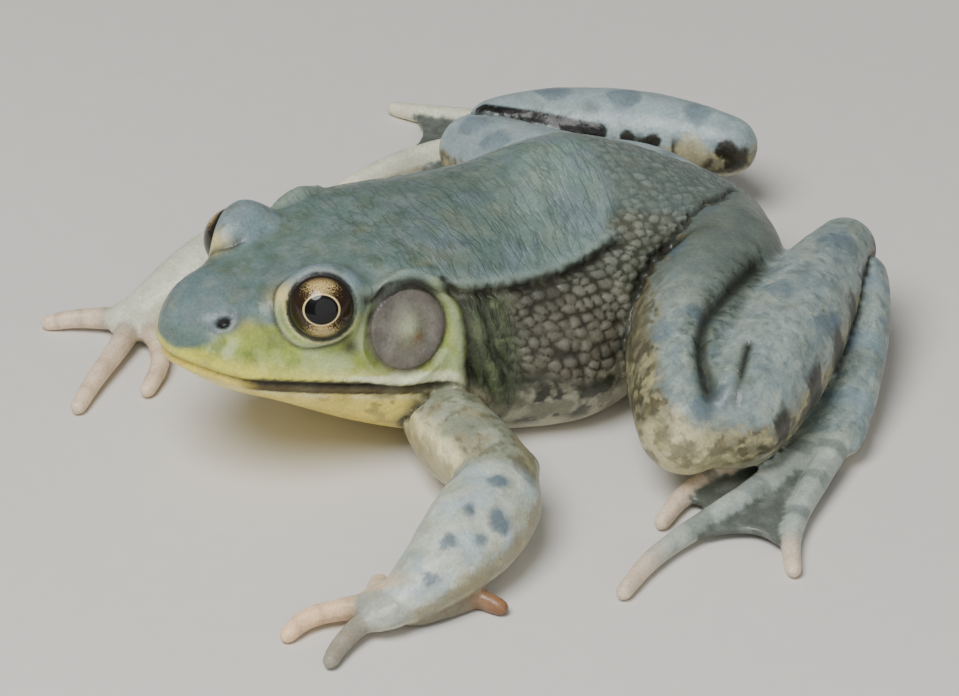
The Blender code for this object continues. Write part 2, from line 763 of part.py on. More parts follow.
def make_finish(name):
    colour, roughness = FINISHES[name]
    material = bpy.data.materials.new(name)
    material.use_nodes = True
    shader = material.node_tree.nodes["Principled BSDF"]
    shader.inputs["Base Color"].default_value = (*colour, 1.0)
    shader.inputs["Roughness"].default_value = roughness
    shader.inputs["Metallic"].default_value = 0.0
    return material


def finished(objects, finish):
    material = make_finish(finish)
    for obj in objects:
        obj.data.materials.clear()
        obj.data.materials.append(material)
        obj.data.shade_smooth()
        obj.data.set_sharp_from_angle(angle=math.radians(SHARP_ANGLE))


def joints_of(side_name, side, arm, leg):
    """Where each piece of one side is joined to the piece that carries it."""
    joints = {name: stations[0][:3] for name, stations in (*arm.items(), *leg.items())}
    joints |= {name: leg[outer[0]][0][:3] for name, (_, outer, _) in WEBS.items()}
    joints |= {"eye": on_head(EYE_CENTRE, side), "eardrum": on_head(EARDRUM_CENTRE, side)}
    return {f"{name}_{side_name}": Vector(place) * MM for name, place in joints.items()}


def carrier_of(name):
    """The name of the piece that carries the named one, on the same side where there are two."""
    kind = next(kind for kind in CARRIERS if name.startswith(kind))
    carrier = CARRIERS[kind]
    return carrier if carrier in ("head", "trunk") else f"{carrier}_{name.rsplit('_', 1)[1]}"


def hang_together(objects, joints):
    """Puts the trunk's origin at the middle of the footprint, and hangs each piece on its carrier."""
    places = np.array([vertex.co for obj in objects for vertex in obj.data.vertices])
    low, high = places.min(axis=0), places.max(axis=0)
    joints["trunk"] = Vector(((low[0] + high[0]) / 2, (low[1] + high[1]) / 2, 0.0))
    for obj in objects:
        obj.data.transform(Matrix.Translation(-joints[obj.name]))
        if obj.name != "trunk":
            carrier = carrier_of(obj.name)
            obj.parent = bpy.data.objects[carrier]
            obj.location = joints[obj.name] - joints[carrier]


def main():
    for obj in list(bpy.data.objects):
        bpy.data.objects.remove(obj)
    body = make_body()
    head, jaw, trunk = make_head_and_trunk(body)
    clear_of_body = grown(body)
    discard(body)
    limbs, digits, webs, eyes, eardrums = [], [], [], [], []
    joints = {"head": Vector(NECK_JOINT) * MM, "lower_jaw": Vector(JAW_JOINT) * MM}
    for side_name, side, arm, leg in SIDES:
        joints |= joints_of(side_name, side, arm, leg)
        eyes.append(make_eye(f"eye_{side_name}", side))
        eardrums.append(make_eardrum(f"eardrum_{side_name}", side))
        made = []
        limbs += make_limbs(side_name, arm, ("upper_arm", "forearm", "hand"), made, clear_of_body)
        digits += make_limbs(side_name, arm, FINGERS, made, clear_of_body)
        made = []
        limbs += make_limbs(side_name, leg, ("thigh", "shank", "tarsus", "foot"), made, clear_of_body)
        digits += make_limbs(side_name, leg, TOES, made, clear_of_body)
        webs += make_webs(side_name, leg)
    discard(clear_of_body)
    for obj in (trunk, *limbs, *digits, *webs):
        standing(obj)
    finished([trunk], "back_skin")
    finished([head], "head_skin")
    finished([jaw], "throat_skin")
    finished(limbs, "limb_skin")
    finished(digits, "digit_skin")
    finished(webs, "web_skin")
    finished(eyes, "eyeball")
    finished(eardrums, "eardrum_skin")
    hang_together([trunk, head, jaw, *eyes, *eardrums, *limbs, *digits, *webs], joints)


main()
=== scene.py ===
"""The looks of a life-size green frog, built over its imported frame.

The frog sits on level ground. All sizes below are in millimetres unless they say otherwise, with x to
the frog's left, y backwards from its snout and z up, and its own origin on the ground below the snout.
"""

import json
import math

import bpy
import numpy as np
from mathutils import Matrix, Vector
from mathutils.kdtree import KDTree

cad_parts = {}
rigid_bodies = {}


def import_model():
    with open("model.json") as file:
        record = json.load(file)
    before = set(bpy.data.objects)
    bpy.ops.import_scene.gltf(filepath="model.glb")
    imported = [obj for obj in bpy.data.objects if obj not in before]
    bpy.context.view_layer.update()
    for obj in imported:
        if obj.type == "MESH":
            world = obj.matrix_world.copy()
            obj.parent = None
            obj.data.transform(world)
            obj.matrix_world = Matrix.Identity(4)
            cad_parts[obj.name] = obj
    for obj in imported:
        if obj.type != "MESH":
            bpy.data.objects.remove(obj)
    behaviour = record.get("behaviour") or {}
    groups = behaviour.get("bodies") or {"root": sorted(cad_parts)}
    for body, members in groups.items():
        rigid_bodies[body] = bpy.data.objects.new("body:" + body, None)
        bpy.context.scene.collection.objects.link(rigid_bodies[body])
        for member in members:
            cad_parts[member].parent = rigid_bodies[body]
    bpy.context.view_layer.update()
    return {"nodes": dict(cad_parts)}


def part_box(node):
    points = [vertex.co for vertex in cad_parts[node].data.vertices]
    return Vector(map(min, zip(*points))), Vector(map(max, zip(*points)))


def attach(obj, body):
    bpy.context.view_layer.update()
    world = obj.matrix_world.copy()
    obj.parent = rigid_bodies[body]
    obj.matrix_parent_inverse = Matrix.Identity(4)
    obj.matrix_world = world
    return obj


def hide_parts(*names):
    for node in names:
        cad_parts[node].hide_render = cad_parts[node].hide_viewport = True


bl_info = {
    "name": "Green frog",
    "version": (1, 0, 0),
    "blender": (4, 5, 0),
    "location": "3D View > Sidebar > Green frog",
    "description": "Makes the skin, the eyes and the studio of a life-size green frog",
    "category": "Object",
}

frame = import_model()
MM = 0.001
LEFT, RIGHT = 1.0, -1.0
REACH = 5.0  # how far from a line its measures are taken
FAR = 99.0  # stands for any place farther off
SAME_PLACE = 2e-6  # metres
SHARP_EDGE = 48  # degrees, the least turn of an edge that stays crisp
LEVELS = 20  # of how much the skin may be thinned out

# Where the frog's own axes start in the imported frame, found from the two eyes.
EYES_MIDDLE = np.array((0.09, 16.94, 24.7))
EYE_BOXES = {LEFT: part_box("eye_left"), RIGHT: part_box("eye_right")}
ORIGIN = np.mean([np.mean(box, axis=0) for box in EYE_BOXES.values()], axis=0) / MM - EYES_MIDDLE

# The middle plane of the body, and how the head is turned on it.
MIDLINE = -1.2
NECK_PIVOT = np.array((MIDLINE, 38, 0))
HEAD_TURN = 3.5
HEAD = Matrix.Rotation(math.radians(HEAD_TURN), 3, "Z")
NECK = (24, 46)

# Places on the left of a head that looks straight ahead, with x measured from the middle plane.
EYE = np.array((9.75, 16.9, 24.7))
EYE_RADIUS = 4.35
CORNEA = (2.2, 0.035)  # how far out from the eye's middle the clear front starts to bulge, and its share
GAZE_TURN = 59
GAZE_LIFT = {LEFT: 22, RIGHT: 0}
LID_RIM = 4.4  # from the eye's middle to the rim of the eyelids
LID_LEAN = 74  # the angle from the gaze out to that rim
LID_THICKNESS = 0.25
LID_FOLD = 5.25  # from the eye's middle to the fold below the eyelid
LIDS_MIDDLE = 5.9  # from the eye's middle to the middle of the soft lids
EARDRUM = np.array((15, 26.5, 20.3))
EARDRUM_FACING = np.array((0.96, -0.1, 0.26))
EARDRUM_RADIUS = 5.7
NOSTRIL = np.array((5.62, 5.4, 24))
MOUTH = ((0, 18.9), (6, 17.1), (11, 15.9), (16, 14.8), (21, 13.7), (26.5, 12.4), (31.5, 11.2), (33.5, 10.6))
MOUTH_END = (32.5, 34)
RIDGE = (
    (11.9, 20.6, 25.6), (12.4, 24, 26.1), (12.2, 28.6, 26), (13.8, 32.5, 24.7), (14.7, 40.6, 22.7),
    (14.5, 47.1, 21.9), (13.9, 52.2, 21.9), (12.9, 56.7, 22.4), (12, 61, 23),
)
LID_WEDGE = (7.6, 12.6, 26.6)
CHEEK_SPOT = (13, 19, 19.6)
# the edge of the grey-green skin behind the hump
BACK_EDGE = ((9.2, 62.5, 25.6), (9.8, 66, 24), (10.4, 73, 20.7), (12, 80, 16), (13, 90, 10))
# how high the green of the face reaches, from the snout back
FACE_EDGE = (
    (-1, 20.3), (1.2, 20.6), (3, 21.6), (4.9, 23.2), (9, 23.2), (12, 22.6), (17, 20.5), (20, 23.6),
    (34, 24),
)
EARDRUM_FOLD = ((13.9, 31.2, 24.9), (16.6, 33, 21.5), (17.6, 33.2, 17), (17.2, 33, 13), (16.4, 33.2, 10.4))

# Places on the arms and legs, in the pose.
KNEE = (41, 50, 7)
# dark spots of the left arm and leg: x, y, z and radius
LIMB_SPOTS = (
    (41, 20.3, 11, 1.1), (43.5, 23.1, 9.7, 2), (43.5, 16.1, 9.1, 1.2), (45.6, 12, 6.4, 1.2),
    (28, 26.9, 13.4, 0.8), (38.6, 25.6, 11.9, 1.6), (44.6, 19.6, 8.6, 1.3), (34.9, 78, 15.4, 1.9),
    (41.1, 70.3, 13.1, 1.5), (45.6, 62.1, 10.9, 1.7),
)
# the painted shade in the gap along the right shank, as x, y, z, and the dark bars below it: x, y, z and
# radius
FAR_GAP_SHADE = (
    (-41.5, 71, 12.6), (-38.4, 73.6, 12.7), (-35.3, 76.6, 12.6), (-31.9, 79.3, 12.5), (-28.5, 82, 12.4),
)
FAR_BARS = ((-25.4, 84.4, 12.2, 1.1), (-22.7, 86.9, 12.1, 1.2), (-15.4, 94, 12.2, 1.6))
FAR_HEEL = (-18.6, 90.5, 11.3)  # the cream patch between the last two bars

KNEE_CREASE = (
    (20.6, 77.4, 18.6), (25.2, 69.8, 20), (28.4, 64.6, 20.1), (30.6, 60.9, 19.8), (33.6, 58.3, 18.7),
    (37.4, 56.3, 17.1), (41, 54.7, 15.4), (42, 53.6, 13.6),
)
SHANK_CREASE = (
    (36, 64, 18.9), (37, 62.9, 18.6), (39.7, 60.5, 17.8), (42.7, 57.7, 16.6), (43.9, 56.4, 14.4),
)
HIP_CREASE = ((17.3, 58, 15.4), (15, 61, 17.6), (12.8, 64.6, 18.8), (12.6, 68.5, 19.7), (15, 75.7, 20.4))
# the creases of the left leg, each with its depth and width
LEG_CREASES = ((KNEE_CREASE, 1.3, 0.8), (SHANK_CREASE, 0.55, 0.45), (HIP_CREASE, 0.5, 0.6))
FINGER_COLOURS = {"finger_2_left": "#F6CFA4", "finger_3_left": "#9A9583", "finger_4_left": "#8A6446"}

PARTS = ("upper_arm", "forearm", "hand", "thigh", "shank", "tarsus", "foot")
LIMBS = (*PARTS, "toe")
DIGITS = ("finger_1", "finger_2", "finger_3", "finger_4", "toe_1", "toe_2", "toe_3", "toe_4", "toe_5")
WEBS = ("web_1_2", "web_2_3", "web_3_4", "web_4_5")
FLESH = ["head", "lower_jaw", "trunk", "eardrum_left", "eardrum_right"]
FLESH += [f"{name}_{side}" for side in ("left", "right") for name in (*PARTS, *DIGITS, *WEBS)]


# ---------------------------------------------------------------- small helpers


def linear(code):
    """The linear colour of an sRGB hex value."""
    parts = [int(code[i : i + 2], 16) / 255 for i in (1, 3, 5)]
    return tuple(c / 12.92 if c <= 0.04045 else ((c + 0.055) / 1.055) ** 2.4 for c in parts)


def step(low, high, values):
    """A smooth change from 0 at low to 1 at high."""
    t = np.clip((values - low) / (high - low), 0.0, 1.0)
    return t * t * (3 - 2 * t)


def near(distance, width):
    """A soft bump, 1 at no distance and fading over the width."""
    return np.exp(-((distance / width) ** 2))


def unit(vector):
    vector = np.asarray(vector, float)
    return vector / np.linalg.norm(vector)


def dice(cells, seed):
    """A number between 0 and 1 for each whole-numbered cell, always the same for the same cell."""
    code = np.full(cells.shape[:-1], seed * 7919 + 17, np.uint32)
    for axis, prime in zip(range(cells.shape[-1]), (73856093, 19349663, 83492791)):
        code = code ^ (cells[..., axis].astype(np.int64).astype(np.uint32) * np.uint32(prime))
        code = (code ^ (code >> np.uint32(15))) * np.uint32(2246822519)
        code = code ^ (code >> np.uint32(13))
    return (code & np.uint32(0xFFFFF)) / 1048575.0


def cloud(places, size, seed):
    """Soft random patches about this size across, from 0 to 1."""
    total, weight = 0.0, 0.0
    for octave, share in ((1.0, 1.0), (2.1, 0.5)):
        at = places / size * octave
        base = np.floor(at)
        t = at - base
        t = t * t * (3 - 2 * t)
        value = 0.0
        for corner in np.ndindex(*(2,) * places.shape[1]):
            pull = 1.0
            for axis, on in enumerate(corner):
                pull = pull * (t[:, axis] if on else 1 - t[:, axis])
            value = value + pull * dice(base + corner, seed + int(octave * 10))
        total, weight = total + share * value, weight + share
    return total / weight


def grains(places, size, seed, loose=0.7):
    """Round grains packed side by side: the height of each, 1 in its middle, and its own random number."""
    at = places / size
    base = np.floor(at)
    best = np.full(len(at), 9.0)
    second = np.full(len(at), 9.0)
    own = np.zeros(len(at))
    for corner in np.ndindex(*(3,) * places.shape[1]):
        cell = base + np.array(corner) - 1
        centre = cell + 0.5
        for axis in range(places.shape[1]):
            centre[:, axis] += loose * (dice(cell, seed + 31 * axis) - 0.5)
        gap = np.linalg.norm(at - centre, axis=1)
        closer = gap < best
        second = np.where(closer, best, np.minimum(second, gap))
        own = np.where(closer, dice(cell, seed + 97), own)
        best = np.minimum(best, gap)
    return np.clip(1 - (best / 0.68) ** 2, 0, 1) * step(0.0, 0.30, second - best), own


def smooth_line(points, count):
    """Many points along a smooth line through a few."""
    points = np.array(points, float)
    steps = np.linalg.norm(np.diff(points, axis=0), axis=1)
    knots = np.concatenate([[0.0], np.cumsum(steps)])
    slopes = np.gradient(points, knots, axis=0)
    at = np.linspace(0, knots[-1], count)
    span = np.clip(np.searchsorted(knots, at, side="right") - 1, 0, len(knots) - 2)
    width = (knots[span + 1] - knots[span])[:, None]
    t = (at - knots[span])[:, None] / width
    leaving, arriving = width * slopes[span], width * slopes[span + 1]
    curve = (2 * t**3 - 3 * t**2 + 1) * points[span] + (t**3 - 2 * t**2 + t) * leaving
    return curve + (-2 * t**3 + 3 * t**2) * points[span + 1] + (t**3 - t**2) * arriving


def from_line(places, points, count=90):
    """For each place, its offset from the nearest point of a smooth line, and how far along that is."""
    line = smooth_line(points, count)
    close = np.all((places > line.min(axis=0) - REACH) & (places < line.max(axis=0) + REACH), axis=1)
    some = places[close]
    best = np.full(len(some), 1e9)
    chosen = np.zeros(len(some), int)
    for i, point in enumerate(line):
        away = some - point
        gap = np.einsum("ij,ij->i", away, away)
        closer = gap < best
        best[closer], chosen[closer] = gap[closer], i
    offset, gap, along = np.full_like(places, FAR), np.full(len(places), FAR), np.zeros(len(places))
    offset[close], gap[close], along[close] = some - line[chosen], np.sqrt(best), chosen / (count - 1)
    return offset, gap, along


def fill(tree, node, inputs):
    """Sets or links a node's inputs, by name or in order. A node as a value stands for its first output."""
    for key, value in inputs.items() if isinstance(inputs, dict) else enumerate(inputs):
        value = value.outputs[0] if isinstance(value, bpy.types.Node) else value
        if isinstance(value, bpy.types.NodeSocket):
            tree.links.new(value, node.inputs[key])
        else:
            node.inputs[key].default_value = value
    return node


def add_node(tree, kind, inputs=(), **settings):
    """Adds one node with its settings, and sets or links its inputs."""
    new = tree.nodes.new("ShaderNode" + kind)
    for name, value in settings.items():
        setattr(new, name, value)
    return fill(tree, new, inputs)


def new_material(name):
    """An empty node material with its Principled shader."""
    material = bpy.data.materials.new(name)
    material.use_nodes = True
    tree = material.node_tree
    return material, tree, tree.nodes["Principled BSDF"]


def only(obj):
    """Makes this the one object that operators act on."""
    if bpy.context.object and bpy.context.object.mode != "OBJECT":
        bpy.ops.object.mode_set(mode="OBJECT")
    bpy.ops.object.select_all(action="DESELECT")
    bpy.context.view_layer.objects.active = obj
    obj.select_set(True)
    return obj


def modify(obj, kind, **settings):
    """Adds a modifier and applies it at once."""
    only(obj)
    bpy.ops.object.modifier_add(type=kind)
    modifier = obj.modifiers[-1]
    for name, value in settings.items():
        setattr(modifier, name, value)
    bpy.ops.object.modifier_apply(modifier=modifier.name)


def vertex_array(group, field, width):
    values = np.zeros(len(group) * width, np.float64 if width > 2 else np.int64)
    group.foreach_get(field, values)
    return values.reshape(-1, width)


def places_of(obj):
    """The object's vertices on the frog's own axes, in millimetres."""
    return vertex_array(obj.data.vertices, "co", 3) / MM - ORIGIN


def put_places(obj, places):
    obj.data.vertices.foreach_set("co", ((places + ORIGIN) * MM).ravel())
    obj.data.update()


def straightened(places):
    """The places on a frog that looks straight ahead: distance left of its middle plane, back and up."""
    straight = places.copy()
    away = places[:, :2] - NECK_PIVOT[:2]
    for _ in range(3):
        angle = -math.radians(HEAD_TURN) * (1 - step(*NECK, straight[:, 1]))
        straight[:, 0] = away[:, 0] * np.cos(angle) - away[:, 1] * np.sin(angle)
        straight[:, 1] = away[:, 0] * np.sin(angle) + away[:, 1] * np.cos(angle) + NECK_PIVOT[1]
    return straight


def on_head(place, side):
    """The real place of a point given for the left of a straight head."""
    away = Vector((side * place[0], place[1] - NECK_PIVOT[1], place[2]))
    return np.array(HEAD @ away) + NECK_PIVOT


def facing_on_head(direction, side):
    return unit(HEAD @ Vector((side * direction[0], direction[1], direction[2])))


def gaze(side):
    turn, lift = math.radians(GAZE_TURN), math.radians(GAZE_LIFT[side])
    ahead = (math.sin(turn) * math.cos(lift), -math.cos(turn) * math.cos(lift), math.sin(lift))
    return facing_on_head(ahead, side)


def gaze_axes(side):
    """Across, up and outwards, as seen from in front of the eye."""
    outwards = gaze(side)
    across = unit(np.cross((0.0, 0.0, 1.0), outwards))
    return across, np.cross(outwards, across), outwards


# ---------------------------------------------------------------- settings


def colour_setting(name, code, description):
    return bpy.props.FloatVectorProperty(
        name=name, description=description, default=linear(code), subtype="COLOR", size=3, min=0.0, max=1.0
    )


def length_setting(name, size, description):
    return bpy.props.FloatProperty(
        name=name, description=description, default=size * MM, unit="LENGTH", subtype="DISTANCE", precision=5
    )


def power_setting(name, watts, description):
    return bpy.props.FloatProperty(name=name, description=description, default=watts, unit="POWER")


class FROG_PG_skin(bpy.types.PropertyGroup):
    """Sizes and colours of the frog's skin."""

    voxel: length_setting("Fineness", 0.36, "Size of the cells that the skin is first made from")
    triangles: bpy.props.IntProperty(
        name="Triangles", description="About how many triangles the skin has", default=197500
    )
    growth: length_setting("Growth", 0.24, "How far each part of the frame swells so that the parts join")
    grain: length_setting("Grain size", 1.5, "Distance between the warts on the flanks")
    back: colour_setting("Back", "#5E716A", "Colour of the back and the top of the head")
    green: colour_setting("Green", "#A0AF52", "Colour of the side of the face")
    lip: colour_setting("Lip", "#E0DC7C", "Colour of the upper lip's lower edge")
    throat: colour_setting("Throat", "#F6E070", "Colour of the throat")
    flank: colour_setting("Flank", "#433F33", "Ground colour of the flanks")
    wart: colour_setting("Warts", "#7E7D70", "Colour of the warts' tops")
    belly: colour_setting("Belly", "#D9D4BC", "Colour of the underside")
    limb: colour_setting("Limbs", "#8C9A95", "Colour of the arms and legs")
    spot: colour_setting("Spots", "#4F6272", "Colour of the dark spots on the arms and legs")
    digit: colour_setting("Digits", "#E3CBB0", "Colour of the fingers and the tips of the toes")
    # dark is also the colour of the painted shadow below the ridges and of the painted shade in the creases
    dark: colour_setting("Dark", "#26241B", "Colour of the dark lines and bars")


class FROG_PG_eyes(bpy.types.PropertyGroup):
    """Sizes and colours of the eyes."""

    pupil_width: length_setting("Pupil width", 4.1, "Width of the pupil along the eye")
    pupil_height: length_setting("Pupil height", 3.6, "Height of the pupil")
    iris: colour_setting("Iris", "#2B1C0F", "Ground colour of the iris")
    gold: colour_setting("Gold", "#C9AE72", "Colour of the flecks in the iris")
    rim: colour_setting("Rim", "#DCC78F", "Colour of the thin ring round the pupil")


class FROG_PG_studio(bpy.types.PropertyGroup):
    """The floor, the light and the camera."""

    floor: colour_setting("Floor", "#D9D6CF", "Colour of the floor")
    key: power_setting("Key light", 5.6, "Strength of the main light")
    fill: power_setting("Fill light", 1.8, "Strength of the soft light")
    lens: bpy.props.FloatProperty(
        name="Lens", description="Focal length in millimetres", default=173.9, min=10.0
    )


# ---------------------------------------------------------------- the skin's shape


def swollen_copy(name, settings):
    """A smooth copy of one part of the frame, a little swollen so that it meets its neighbours."""
    copy = bpy.data.objects.new(name + "_copy", frame["nodes"][name].data.copy())
    bpy.context.scene.collection.objects.link(copy)
    only(copy)
    bpy.ops.object.mode_set(mode="EDIT")
    bpy.ops.mesh.select_mode(type="EDGE")
    bpy.ops.mesh.select_all(action="SELECT")
    bpy.ops.mesh.remove_doubles(threshold=SAME_PLACE)
    bpy.ops.mesh.select_all(action="DESELECT")
    bpy.ops.mesh.edges_select_sharp(sharpness=math.radians(SHARP_EDGE))
    bpy.ops.transform.edge_crease(value=1.0)
    bpy.ops.object.mode_set(mode="OBJECT")
    modify(copy, "SUBSURF", levels=2, render_levels=2)
    if not name.startswith("eye_"):
        modify(copy, "DISPLACE", strength=settings.growth, mid_level=0.0)
    return copy


def lid_ring(side):
    """The soft rim of the eyelids, lying against the eyeball."""
    lean = math.radians(LID_LEAN)
    across, up, outwards = gaze_axes(side)
    middle = on_head(EYE, side) + outwards * LID_RIM * math.cos(lean)
    bpy.ops.object.select_all(action="DESELECT")
    turn = Matrix((across, up, outwards)).transposed().to_euler()
    bpy.ops.mesh.primitive_torus_add(
        location=Vector((middle + ORIGIN) * MM),
        rotation=turn,
        major_segments=64,
        minor_segments=12,
        major_radius=LID_RIM * math.sin(lean) * MM,
        minor_radius=LID_THICKNESS * MM,
    )
    ring = bpy.context.object
    bpy.ops.object.transform_apply(location=True, rotation=True, scale=True)
    return ring


def one_skin(settings):
    """All the flesh under a single closed skin, with the name of the nearest part for each vertex."""
    copies = [swollen_copy(name, settings) for name in (*FLESH, "eye_left", "eye_right")]
    names = [*FLESH, "head", "head"]
    tree = KDTree(sum(len(copy.data.vertices) for copy in copies))
    owner = []
    for number, copy in enumerate(copies):
        for vertex in copy.data.vertices:
            tree.insert(vertex.co, len(owner))
            owner.append(number)
    tree.balance()
    copies += [lid_ring(side) for side in (LEFT, RIGHT)]
    skin = only(copies[0])
    for copy in copies:
        copy.select_set(True)
    bpy.ops.object.join()
    skin.name = skin.data.name = "skin"
    modify(skin, "REMESH", mode="VOXEL", voxel_size=settings.voxel)
    keep_outer_shell(skin)
    nearest = np.array([owner[tree.find(vertex.co)[1]] for vertex in skin.data.vertices])
    return skin, np.array(names)[nearest]


def keep_outer_shell(obj):
    """Deletes any closed pocket left inside."""
    only(obj)
    bpy.ops.object.mode_set(mode="EDIT")
    bpy.ops.mesh.select_mode(type="VERT")
    bpy.ops.mesh.select_all(action="DESELECT")
    bpy.ops.object.mode_set(mode="OBJECT")
    highest = max(obj.data.vertices, key=lambda vertex: vertex.co.z)
    highest.select = True
    bpy.ops.object.mode_set(mode="EDIT")
    bpy.ops.mesh.select_linked()
    bpy.ops.mesh.select_all(action="INVERT")
    bpy.ops.mesh.delete(type="VERT")
    bpy.ops.object.mode_set(mode="OBJECT")


class Surface:
    """The skin's vertices as arrays, on the frog's axes and on the straightened frog."""

    def __init__(self, obj, parts):
        self.obj = obj
        self.names, self.owner = np.unique(parts, return_inverse=True)
        self.masks = {}
        self.edges = vertex_array(obj.data.edges, "vertices", 2)
        self.count = len(obj.data.vertices)
        self.degree = np.bincount(self.edges.ravel(), minlength=self.count)
        self.read()

    def read(self):
        self.places = places_of(self.obj)
        self.normals = vertex_array(self.obj.data.vertex_normals, "vector", 3)
        straight = straightened(self.places)
        self.side = np.where(straight[:, 0] >= 0, LEFT, RIGHT)
        self.half = np.column_stack([np.abs(straight[:, 0]), straight[:, 1:]])
        self.x, self.y, self.z = self.half.T
        self.up = self.normals[:, 2]
        self.out = self.normals[:, 0] * self.side

    def measure(self):
        """Notes where each vertex lies by the lines of the face, back and legs, before they are carved."""
        facing = unit(EARDRUM_FACING)
        away = self.half - EARDRUM
        self.drum_out = away @ facing
        self.drum = np.linalg.norm(away - self.drum_out[:, None] * facing, axis=1)
        self.eye = np.linalg.norm(self.half - EYE, axis=1)
        in_front = (EYE[1] - self.y) / self.eye
        self.lid_fold = self.eye - LID_FOLD - 0.85 * step(0.15, 0.85, in_front)
        self.nostril = np.linalg.norm((self.half - NOSTRIL) * (1.1, 0.75, 1.3), axis=1)
        self.face = self.part("head", "lower_jaw", "eardrum")
        self.above_mouth = self.z - read_off(MOUTH, self.y)[0]
        self.mouth = self.face * (1 - step(*MOUTH_END, self.y))
        self.ridge = from_line(self.half, RIDGE)
        self.fold = from_line(self.half[:, 1:], [point[1:] for point in EARDRUM_FOLD])
        edge = [(y, x, z) for x, y, z in (*RIDGE[:-1], *BACK_EDGE)]
        reach, level = read_off(edge, self.y)
        self.over_ridge = (self.z - level) * 0.8 + (reach - self.x) * 0.6
        self.creases = []
        for points, depth, width in LEG_CREASES:
            _, gap, along = from_line(self.places, points)
            ends = step(0, 0.12, along) * (1 - step(0.86, 1, along))
            self.creases.append((near(gap, width) * ends, near(gap, width * 2.4) * ends, depth))
        _, self.knee_gap, self.knee_along = from_line(self.places, KNEE_CREASE)

    def write(self, places):
        put_places(self.obj, places)
        self.read()

    def averaged(self, values):
        """The mean of each vertex's neighbours."""
        first, second = self.edges[:, 0], self.edges[:, 1]
        columns = values if values.ndim == 2 else values[:, None]
        mean = []
        for column in columns.T:
            total = np.bincount(first, column[second], self.count)
            total += np.bincount(second, column[first], self.count)
            mean.append(total / self.degree)
        return np.column_stack(mean) if values.ndim == 2 else mean[0]

    def spread(self, values, rounds, pull=0.5):
        """Values softened over the surface."""
        weight = pull if np.isscalar(pull) or values.ndim == 1 else pull[:, None]
        for _ in range(rounds):
            values = values + weight * (self.averaged(values) - values)
        return values

    def part(self, *names, rounds=3):
        """1 on the named parts and 0 elsewhere, with a soft edge."""
        key = (names, rounds)
        if key not in self.masks:
            wanted = [name.startswith(names) for name in self.names]
            self.masks[key] = self.spread(np.array(wanted, float)[self.owner], rounds)
        return self.masks[key]

    def seam(self, first, second, rounds=3):
        """1 along the line where two parts meet, fading over a few cells of the skin."""
        return np.clip(4 * self.part(first, rounds=rounds) * self.part(second, rounds=rounds), 0, 1)

    def spot(self, place, width, scale=(1, 1, 1)):
        """A soft bump at a place on the left of the straight frog, and on its right."""
        return near(np.linalg.norm((self.half - place) * scale, axis=1), width)

    def gap(self, place, wobble, size, seed):
        """How far each vertex is from a place in the pose, made ragged by a wobble of this size."""
        return np.linalg.norm(self.places - place, axis=1) + wobble * (self.cloud(size, seed) - 0.5)

    def cloud(self, size, seed):
        return cloud(self.places, size, seed)

    def push(self, height):
        """Moves the surface along its normals."""
        self.write(self.places + self.normals * np.asarray(height)[:, None])


def read_off(rows, at):
    """The later columns of a table, read off at places along its first column."""
    rows = np.array(rows, float)
    return [np.interp(at, rows[:, 0], column) for column in rows[:, 1:].T]


def band(values, half_width):
    """1 where the values are within the half-width of 0, with a narrow soft edge."""
    return step(half_width + 0.12, half_width - 0.12, np.abs(values))


def threads(places, seed, width):
    """Thin winding lines about as far apart as the places' unit: 1 on them and 0 between."""
    return step(width, 0, np.abs(cloud(places, 1, seed) - 0.5))


def joined_softly(skin):
    """Softens the whole skin a little and the places where the limbs leave the body a lot."""
    # pairs of parts, and how many rounds of softening the seam between them takes
    pairs = (
        ("head", "trunk", 26), ("head", "lower_jaw", 10), ("lower_jaw", "trunk", 26),
        ("trunk", "upper_arm", 16), ("lower_jaw", "upper_arm", 6), ("upper_arm", "forearm", 56),
        ("forearm", "hand", 14), ("trunk", "thigh", 14), ("tarsus", "foot", 12),
        ("hand", "finger", 8), ("foot", "toe", 8), ("web", "toe", 3), ("web", "foot", 3),
    )
    skin.write(skin.spread(skin.places, 4, 0.5))
    for first, second, rounds in pairs:
        seam = skin.seam(first, second, max(4, rounds // 2))
        skin.write(skin.spread(skin.places, rounds, 0.6 * seam))
    broad = skin.part("trunk", "thigh", "shank", rounds=6) * 0.5
    skin.write(skin.spread(skin.places, 10, broad))
    skin.write(skin.spread(skin.places, 30, 0.6 * skin.seam("thigh", "shank", 5)))
    lids = near(np.linalg.norm(skin.half - EYE, axis=1) - LIDS_MIDDLE, 1.3) * skin.part("head")
    skin.write(skin.spread(skin.places, 36, 0.6 * lids))
    neck = skin.spot((10.3, 33.6, 25.6), 3.2)
    skin.write(skin.spread(skin.places, 80, 0.6 * neck))


def below_lid(skin):
    """1 in front of the eye and below it."""
    return step(1, -1, (skin.y - EYE[1]) * 0.9 + (skin.z - EYE[2]) * 0.6)


def shape_face(skin):
    """Eardrums, mouth, nostrils, and the folds round the eyes."""
    # the eardrum is sunk, with a raised middle, a groove round its edge and a low ring outside that
    drum = -0.25 + 0.75 * near(skin.drum, 1.8) - 0.15 * near(skin.drum - 3.6, 1.3)
    drum += -0.45 * near(skin.drum - EARDRUM_RADIUS, 0.35) + 0.12 * near(skin.drum - 6.5, 0.4)
    drum += 0.16 * (skin.cloud(1.3, 84) - 0.5)
    outer = 7.3 + 1.3 * step(1, -2.5, skin.z - EARDRUM[2])
    hold = (1 - step(6, outer, skin.drum)) * (np.abs(skin.drum_out) < 4)
    skin.push(hold * (drum - skin.drum_out))

    above = skin.above_mouth
    groove = -0.55 * near(above, 0.32) + 0.2 * near(above - 0.95, 0.6) + 0.18 * near(above + 0.8, 0.45)
    skin.push(groove * skin.mouth)
    skin.push(-0.6 * near(skin.nostril, 0.7) * skin.face)
    skin.push(-0.25 * near(skin.lid_fold, 0.28) * below_lid(skin) * skin.face)


